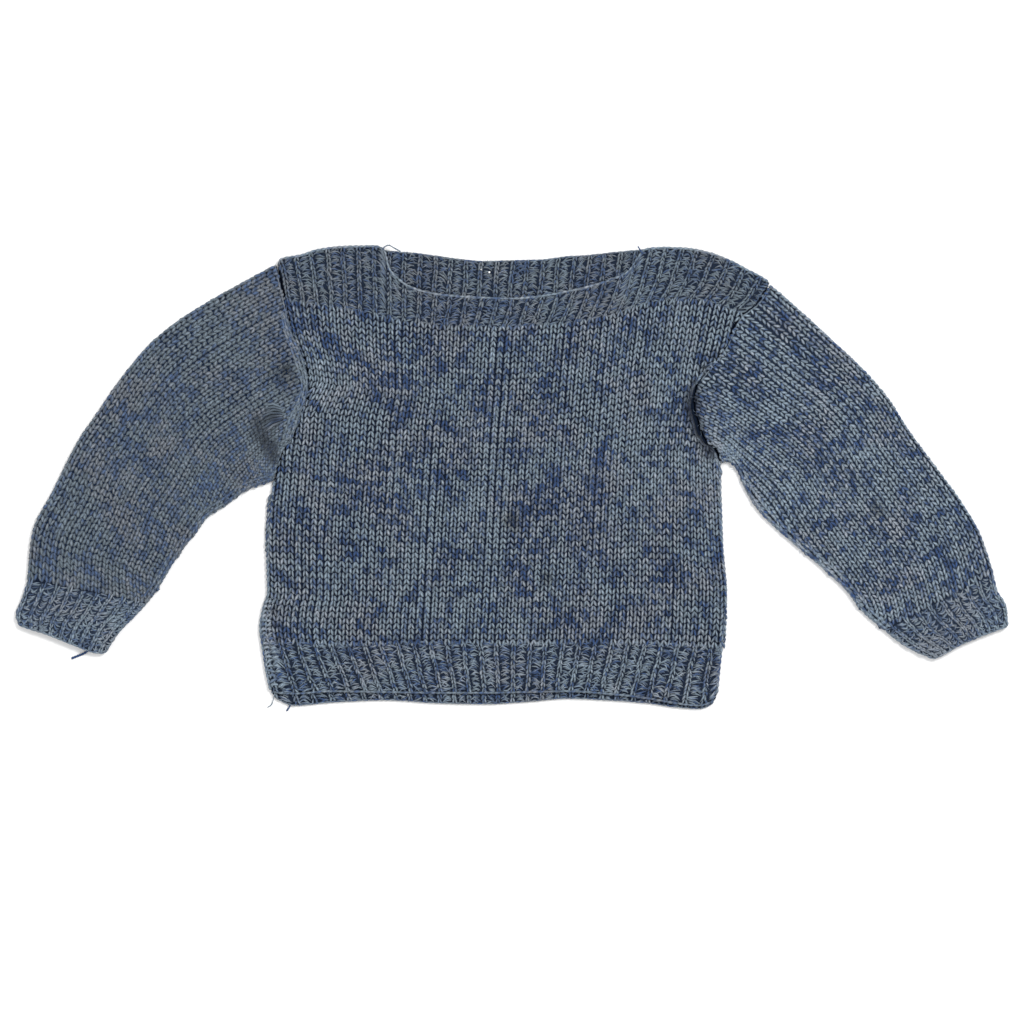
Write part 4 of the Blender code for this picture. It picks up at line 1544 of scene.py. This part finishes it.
class PULLOVER_OT_edges(bpy.types.Operator):
    """Casts off the free edges, sews the seams and turns the stitches at the folds"""

    bl_idname = "pullover.edges"
    bl_label = "Edges and seams"

    def execute(self, context):
        shape = grain_shape(5, 4)
        for layer in ("front", "back"):
            faces = body_faces(layer, True)
            for part, row, node in (("hem", 0.0, "hem_"), ("neck", 1.0, "neckband_")):
                face = faces[part]
                u = np.linspace(0.2, face.columns - 0.2, 600)
                line = face.point(u, np.full_like(u, row))
                normals = face.normal(u, np.full_like(u, abs(row - 0.03)))
                seen = layer == "front"
                rise, width = (0.5, 0.95) if seen else (0.0, HIDDEN_WIDTH)
                grains = chain(line + normals * rise, normals, CAST_OFF_LINK, width, 0.6,
                               61 + (part == "neck"))
                yarn = "edge_yarn" if seen and part == "neck" else "neck_yarn"
                lay("cast_off_" + node + layer, grains, shape, yarn, node + layer)
        for side in ("left", "right"):
            face = cuff_face(side, True)
            c = np.linspace(0.02, 0.98, 200)
            line = face.at(c, np.ones_like(c))
            grains = chain(line, upward(len(c)), CAST_OFF_LINK, HIDDEN_WIDTH, 0.6, 65)
            lay("cast_off_cuff_" + side, grains, shape, "edge_yarn", "cuff_" + side)
            sleeve = sleeve_face(side, True)
            c = np.linspace(0.0, 1.0, 400)
            line = sleeve.at(c, np.full_like(c, 0.004))
            grains = chain(line, upward(len(c)), SEAM_LINK, 0.6, 0.6, 67, 0.3)
            if side == "right":
                y = grains.paths[:, 1, 1]
                grains = Grains(*(v[crease_share(y) < 0.5] for v in grains))
            lay("seam_sleeve_" + side, grains, shape, "neck_yarn", "sleeve_" + side)
            for kind, make in (("sleeve", sleeve_face), ("cuff", cuff_face)):
                tops = make(side, True)
                t = np.linspace(0.01, 1, 500)
                folds = [self.fold(tops, t, c, z) for c in (0.0, 1.0)
                         for z in (FOLD_ABOVE, FOLD_BELOW)]
                lay("fold_" + kind + "_" + side, joined(folds), shape, side + "_sleeve_yarn",
                    kind + "_" + side)
        for side, table, underarm, inward in (
            ("left", LEFT_EDGE, LEFT_UNDERARM, 1), ("right", RIGHT_EDGE, RIGHT_UNDERARM, -1),
        ):
            y = np.linspace(table[0].y, underarm, 500)
            chains = []
            for z, inset, seed in ((FOLD_ABOVE, 1.15, 71), (FOLD_BELOW, 1.05, 72)):
                line = np.stack([edge_x(table, "front", y) + inward * inset, y,
                                 np.full_like(y, z)], -1)
                normals = np.tile((-0.6 * inward, 0, np.sign(z - FOLD_LEVEL)), (len(y), 1))
                chains.append(chain(line, unit(normals), 3.6, 1.15, 0.9, seed))
            lay("seam_side_" + side, joined(chains), shape, "front_yarn", "front")
        for name, grains, material, node in (
            ("selvage_left", self.selvage(), "selvage_yarn", "sleeve_left"),
            ("bunch_left", self.bunch(), "selvage_yarn", "sleeve_left"),
            ("wrapped_side_left", self.wrapped_side(), "front_yarn", "front"),
        ):
            lay(name, grains, shape, material, node)
        return {"FINISHED"}

    def selvage(self):
        """The smooth band of edge stitches that shows beside the left armhole."""
        y = np.linspace(SELVAGE[0].y, SELVAGE[-1].y, 200)
        parts = []
        for k, share in enumerate((0.12, 0.5, 0.88)):
            inner = edge_x(LEFT_EDGE, "front", y)
            away = smooth(-y, [-p.y for p in SELVAGE], values_of(SELVAGE, "width"))
            x = inner - 0.8 - away * share
            z = sleeve_top(x, y) + 0.75
            line = np.stack([x, y, z], -1)
            parts.append(chain(line, upward(len(y)), 3.2 + 0.7 * k, 0.95, 0.55, 91 + k, 0.25))
        return joined(parts)

    def bunch(self):
        """Stitches bunched into a small fan below the armhole's fold."""
        rng = np.random.default_rng(95)
        share = np.linspace(-1, 1, BUNCH.count)
        y = BUNCH.y + BUNCH.half * share
        turn = rng.normal(0, 0.5, (3, BUNCH.count))
        xs = (BUNCH.x0 + 1.5 * share**2, (BUNCH.x0 + BUNCH.x1) / 2, BUNCH.x1 - share**2)
        ys = (y - 2.0, BUNCH.y + 1.6 + 0.8 * BUNCH.half * share,
              BUNCH.y + 1.0 + 0.45 * BUNCH.half * share)
        rises = (0.4, 2.0, 0.8)
        path = []
        for x, y, rise, shake in zip(xs, ys, rises, turn):
            x = np.broadcast_to(x, BUNCH.count) + shake
            path.append(np.stack([x, y, sleeve_top(x, y) + rise], -1))
        yarn = np.stack([share * 4, share * 9, rng.uniform(0, 1, BUNCH.count)], -1)
        return Grains(np.stack(path, 1), upward(BUNCH.count), np.full(BUNCH.count, 0.9),
                      np.full(BUNCH.count, 0.8), yarn)

    def wrapped_side(self):
        """Stitches of the back that wrap round the left side, seen sideways."""
        rng = np.random.default_rng(96)
        y = np.arange(WRAP[-1].y, WRAP[0].y, 2.9)
        count = len(y)
        width = smooth(-y, [-p.y for p in WRAP], values_of(WRAP, "width"))
        outer = edge_x(LEFT_EDGE, "front", y)
        parts = []
        for low, high in ((0.1, 0.58), (0.5, 0.97)):
            tilt = rng.normal(0.6, 0.7, count)
            xs = (outer + width * low, outer + width * (low + high) / 2, outer + width * high)
            ys = (y - tilt, y + 0.8 + rng.normal(0, 0.3, count), y + tilt)
            path = []
            for x, at, rise in zip(xs, ys, (0.2, 1.1, 0.1)):
                inside = rounded(np.maximum(x - outer, 0), SIDE_ROUND)
                path.append(np.stack([x, at, lerp(FOLD_LEVEL, FRONT_OVER, inside) + rise], -1))
            row = y / (gauge().row_height / MM)
            yarn = np.stack([np.full(count, low), row, rng.uniform(0, 1, count)], -1)
            parts.append(Grains(np.stack(path, 1), upward(count), np.full(count, 1.05),
                                np.full(count, 0.8), yarn))
        return joined(parts)

    def fold(self, face, t, c, z):
        """Stitches seen end on where the cloth folds over, or meets in a seam."""
        inward = 1.0 if c < 0.5 else -1.0
        edge = face.at(np.full_like(t, c), t)
        middle = face.at(np.full_like(t, 0.5), t)
        aim = middle - edge
        aim[:, 2] = 0
        aim = unit(aim)
        line = edge + aim * 1.1
        line[:, 2] = z
        normals = -0.6 * aim
        normals[:, 2] = np.sign(z - FOLD_LEVEL)
        return chain(line, unit(normals), FOLD_LINK, 1.1, 0.9, int(73 + inward + z))


class PULLOVER_OT_loose_fibres(bpy.types.Operator):
    """Adds the loose yarn ends, the specks of lint and the fuzz"""

    bl_idname = "pullover.loose_fibres"
    bl_label = "Loose fibres"

    def execute(self, context):
        shape = grain_shape(5, 4)
        for strand in STRANDS:
            points = np.array([tuple(p) for p in strand.points], float)
            knots = np.arange(len(points))
            at = np.linspace(0, knots[-1], 60)
            line = np.stack([smooth(at, knots, points[:, k]) for k in range(3)], -1)
            grains = chain(line, upward(len(line)), strand.link, strand.radius, strand.radius,
                           80, 0.05)
            lay(strand.name, grains, shape, strand.material, strand.node)
        specks = np.array([[(s.x - s.radius, s.y, s.z), (s.x, s.y, s.z + 0.1),
                            (s.x + s.radius, s.y, s.z)] for s in LINT])
        radii = np.array(values_of(LINT, "radius"))
        lint = Grains(specks, upward(len(LINT)), radii, radii, np.zeros((len(LINT), 3)))
        lay("lint", lint, shape, "lint_white", "neckband_back")
        wisp = grain_shape(3, 4)
        g = gauge()
        front = body_faces("front", True)
        faces = [("front", front["panel"], g.stitches, g.rows, 700),
                 ("hem_front", front["hem"], g.hem_ribs, 1, 160),
                 ("neckband_front", front["neck"], g.neck_ribs, 1, 160)]
        for side in ("left", "right"):
            sleeve = sleeve_face(side, True)
            faces.append(("sleeve_" + side, sleeve, sleeve.reach / sleeve.stitch,
                          sleeve.longest / sleeve.row, 500))
        for node, face, columns, rows, count in faces:
            grains = self.fuzz(face, columns, rows, count, len(node))
            if node.startswith("sleeve"):
                tail = grains.paths[:, 0]
                grains = Grains(*(v[tail[:, 2] > FRONT_OVER - 1] for v in grains))
            lay("fuzz_" + node, grains, wisp, "fuzz_yarn", node)
        return {"FINISHED"}

    def fuzz(self, face, columns, rows, count, seed):
        """Fine fibres that stand off the yarn in all directions."""
        rng = np.random.default_rng(seed)
        column = 0.5 + 0.5 * np.sin(np.pi * rng.uniform(-0.5, 0.5, count))
        column = lerp(0.01, 0.99, column) * columns
        row = rng.uniform(0.01, 0.99, count) * rows
        tail = face.above(column, row, 0.9)
        turn = rng.uniform(0, 2 * np.pi, count)
        length = rng.uniform(1.5, 5.0, count)
        run = np.stack([np.cos(turn), np.sin(turn), rng.uniform(0.1, 0.5, count)], -1)
        head = tail + run * length[:, None]
        middle = (tail + head) / 2 + rng.normal(0, 0.45, (count, 3))
        middle[:, 2] += 0.4
        yarn = np.stack([column, row, rng.uniform(0, 1, count)], -1)
        return Grains(np.stack([tail, middle, head], 1), face.normal(column, row),
                      np.full(count, 0.07), np.full(count, 0.07), yarn)


# Loose ends of yarn, as points in millimetres
Place = namedtuple("Place", "x y z")
Strand = namedtuple("Strand", "name node material link radius points")
STRANDS = (
    Strand("loose_loop", "neckband_back", "edge_yarn", 1.4, 0.55, (
        Place(-82.0, 142.5, 4.5), Place(-80.2, 145.2, 6.0), Place(-77.6, 146.2, 6.5),
        Place(-74.5, 144.6, 6.5), Place(-70.0, 142.2, 5.0))),
    Strand("loose_end_neck", "neckband_front", "dark_yarn", 1.4, 0.55, (
        Place(82.5, 140.5, 5.5), Place(80.8, 143.0, 6.5), Place(79.2, 145.6, 6.0))),
    Strand("loose_end_hem", "hem_back", "edge_yarn", 1.4, 0.36, (
        Place(-147.5, -132.0, 4.5), Place(-149.6, -136.5, 4.0), Place(-150.6, -140.5, 2.0),
        Place(-152.0, -143.6, 0.8), Place(-154.4, -145.0, 0.6))),
    Strand("loose_tuft_hem", "hem_back", "dark_yarn", 1.4, 0.7, (
        Place(-139.0, -142.5, 2.0), Place(-140.6, -145.0, 1.2), Place(-142.2, -147.4, 0.8))),
    Strand("loose_end_cuff", "cuff_left", "dark_yarn", 1.6, 0.9, (
        Place(-266.0, -107.5, 3.0), Place(-269.0, -110.4, 1.5), Place(-273.0, -112.2, 0.7),
        Place(-278.0, -114.2, 0.6))),
)


class PULLOVER_OT_declare(bpy.types.Operator):
    """Looks up each knitted part's cloth and the pieces that stand for its node; it sets nothing
    on them
    """

    bl_idname = "pullover.declare"
    bl_label = "Cut"

    def execute(self, context):
        for cut in CUTS:
            cloth = bpy.data.objects["cloth_" + cut.node]
            on_it = [o for o in bpy.data.objects
                     if o.get("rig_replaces") and o.name != cloth.name and belongs(o, cut.node)]
        return {"FINISHED"}


# The flat cut of each part, in millimetres; a sleeve's or cuff's is all round
Cut = namedtuple("Cut", "node width length area rests_on")
CUTS = (
    Cut("back", 305, 216, 61000, "floor"),
    Cut("front", 290, 216, 56000, "cloth_back"),
    Cut("hem_back", 290, 42, 10500, "floor"),
    Cut("hem_front", 290, 40, 9600, "cloth_hem_back"),
    Cut("neckband_back", 312, 44, 10800, "floor"),
    Cut("neckband_front", 312, 52, 8600, "cloth_neckband_back"),
    Cut("sleeve_left", 280, 245, 45000, "floor"),
    Cut("sleeve_right", 250, 240, 42000, "floor"),
    Cut("cuff_left", 156, 32, 4200, "floor"),
    Cut("cuff_right", 156, 32, 3900, "floor"),
)


def belongs(obj, node):
    """Whether a piece stands for that node."""
    named = obj.get("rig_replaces")
    names = list(named) if not isinstance(named, str) else json.loads(named)
    return node in names


# The photograph's frame: its side in pixels, millimetres in a pixel, and its middle measured
# from the pullover's
PHOTO_PIXELS = 1026
PIXEL = 0.63
PHOTO_X = 0.63
PHOTO_Y = -22.4

# The camera, and the height of the knit that it is focused on, in metres
SENSOR = 36.0
CAMERA_HEIGHT = 3.0
KNIT_HEIGHT_SEEN = 0.004

FLOOR_HALF = 4.0
FLOOR_WHITE = (0.93, 0.93, 0.93, 1)
SKY_STRENGTH = 0.85
Lamp = namedtuple("Lamp", "name place size power")
LAMPS = (
    Lamp("key", (0.9, 0.9, 2.2), 0.9, 42.0),
    Lamp("fill", (-1.6, -0.2, 1.8), 1.6, 8.0),
)


class PULLOVER_OT_stage(bpy.types.Operator):
    """Makes the white surface, the soft light and the camera"""

    bl_idname = "pullover.stage"
    bl_label = "Stage"

    def execute(self, context):
        scene = context.scene
        bm = bmesh.new()
        bmesh.ops.create_grid(bm, x_segments=1, y_segments=1, size=FLOOR_HALF)
        mesh = bpy.data.meshes.new("floor")
        bm.to_mesh(mesh)
        bm.free()
        shader = new_material("floor_white")[1]
        shader.inputs["Base Color"].default_value = FLOOR_WHITE
        shader.inputs["Roughness"].default_value = 0.9
        shader.inputs["Specular IOR Level"].default_value = 0.0
        mesh.materials.append(bpy.data.materials["floor_white"])
        add_object("floor", mesh)

        world = bpy.data.worlds.new("studio")
        world.use_nodes = True
        sky = world.node_tree.nodes["Background"].inputs
        sky["Color"].default_value = (1, 1, 1, 1)
        sky["Strength"].default_value = SKY_STRENGTH
        scene.world = world
        for lamp in LAMPS:
            light = bpy.data.lights.new(lamp.name, "AREA")
            light.shape = "DISK"
            light.size = lamp.size
            light.energy = lamp.power
            hung = add_object(lamp.name, light)
            hung.location = lamp.place
            hung.rotation_mode = "QUATERNION"
            hung.rotation_quaternion = (-Vector(lamp.place)).to_track_quat("-Z", "Y")

        camera = bpy.data.cameras.new("camera")
        camera.sensor_width = SENSOR
        view_width = PHOTO_PIXELS * PIXEL * MM
        camera.lens = SENSOR * (CAMERA_HEIGHT - KNIT_HEIGHT_SEEN) / view_width
        camera.clip_end = 20.0
        eye = add_object("camera", camera)
        eye.location = (PHOTO_X * MM, PHOTO_Y * MM, CAMERA_HEIGHT)
        scene.camera = eye
        scene.view_settings.view_transform = "Standard"
        scene.view_settings.look = "None"
        return {"FINISHED"}


STEPS = (
    PULLOVER_OT_yarn,
    PULLOVER_OT_cloth,
    PULLOVER_OT_stocking_stitch,
    PULLOVER_OT_ribs,
    PULLOVER_OT_edges,
    PULLOVER_OT_loose_fibres,
    PULLOVER_OT_stage,
    PULLOVER_OT_declare,
)


class PULLOVER_PT_panel(bpy.types.Panel):
    """Lists the steps and settings of the pullover"""

    bl_idname = "PULLOVER_PT_panel"
    bl_label = "Pullover"
    bl_space_type = "VIEW_3D"
    bl_region_type = "UI"
    bl_category = "Pullover"

    def draw(self, context):
        column = self.layout.column()
        for group in (context.scene.pullover_gauge, context.scene.pullover_yarn):
            for name in group.bl_rna.properties.keys():
                if name not in ("rna_type", "name"):
                    column.prop(group, name)
        for step in STEPS:
            column.operator(step.bl_idname)


CLASSES = (PulloverGauge, PulloverYarn, *STEPS, PULLOVER_PT_panel)


def register():
    for cls in CLASSES:
        bpy.utils.register_class(cls)
    bpy.types.Scene.pullover_gauge = PointerProperty(type=PulloverGauge)
    bpy.types.Scene.pullover_yarn = PointerProperty(type=PulloverYarn)


def unregister():
    del bpy.types.Scene.pullover_yarn
    del bpy.types.Scene.pullover_gauge
    for cls in reversed(CLASSES):
        bpy.utils.unregister_class(cls)


def main():
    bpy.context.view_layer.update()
    register()
    for step in STEPS:
        family, name = step.bl_idname.split(".")
        getattr(getattr(bpy.ops, family), name)()
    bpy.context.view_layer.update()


if __name__ == "__main__":
    main()
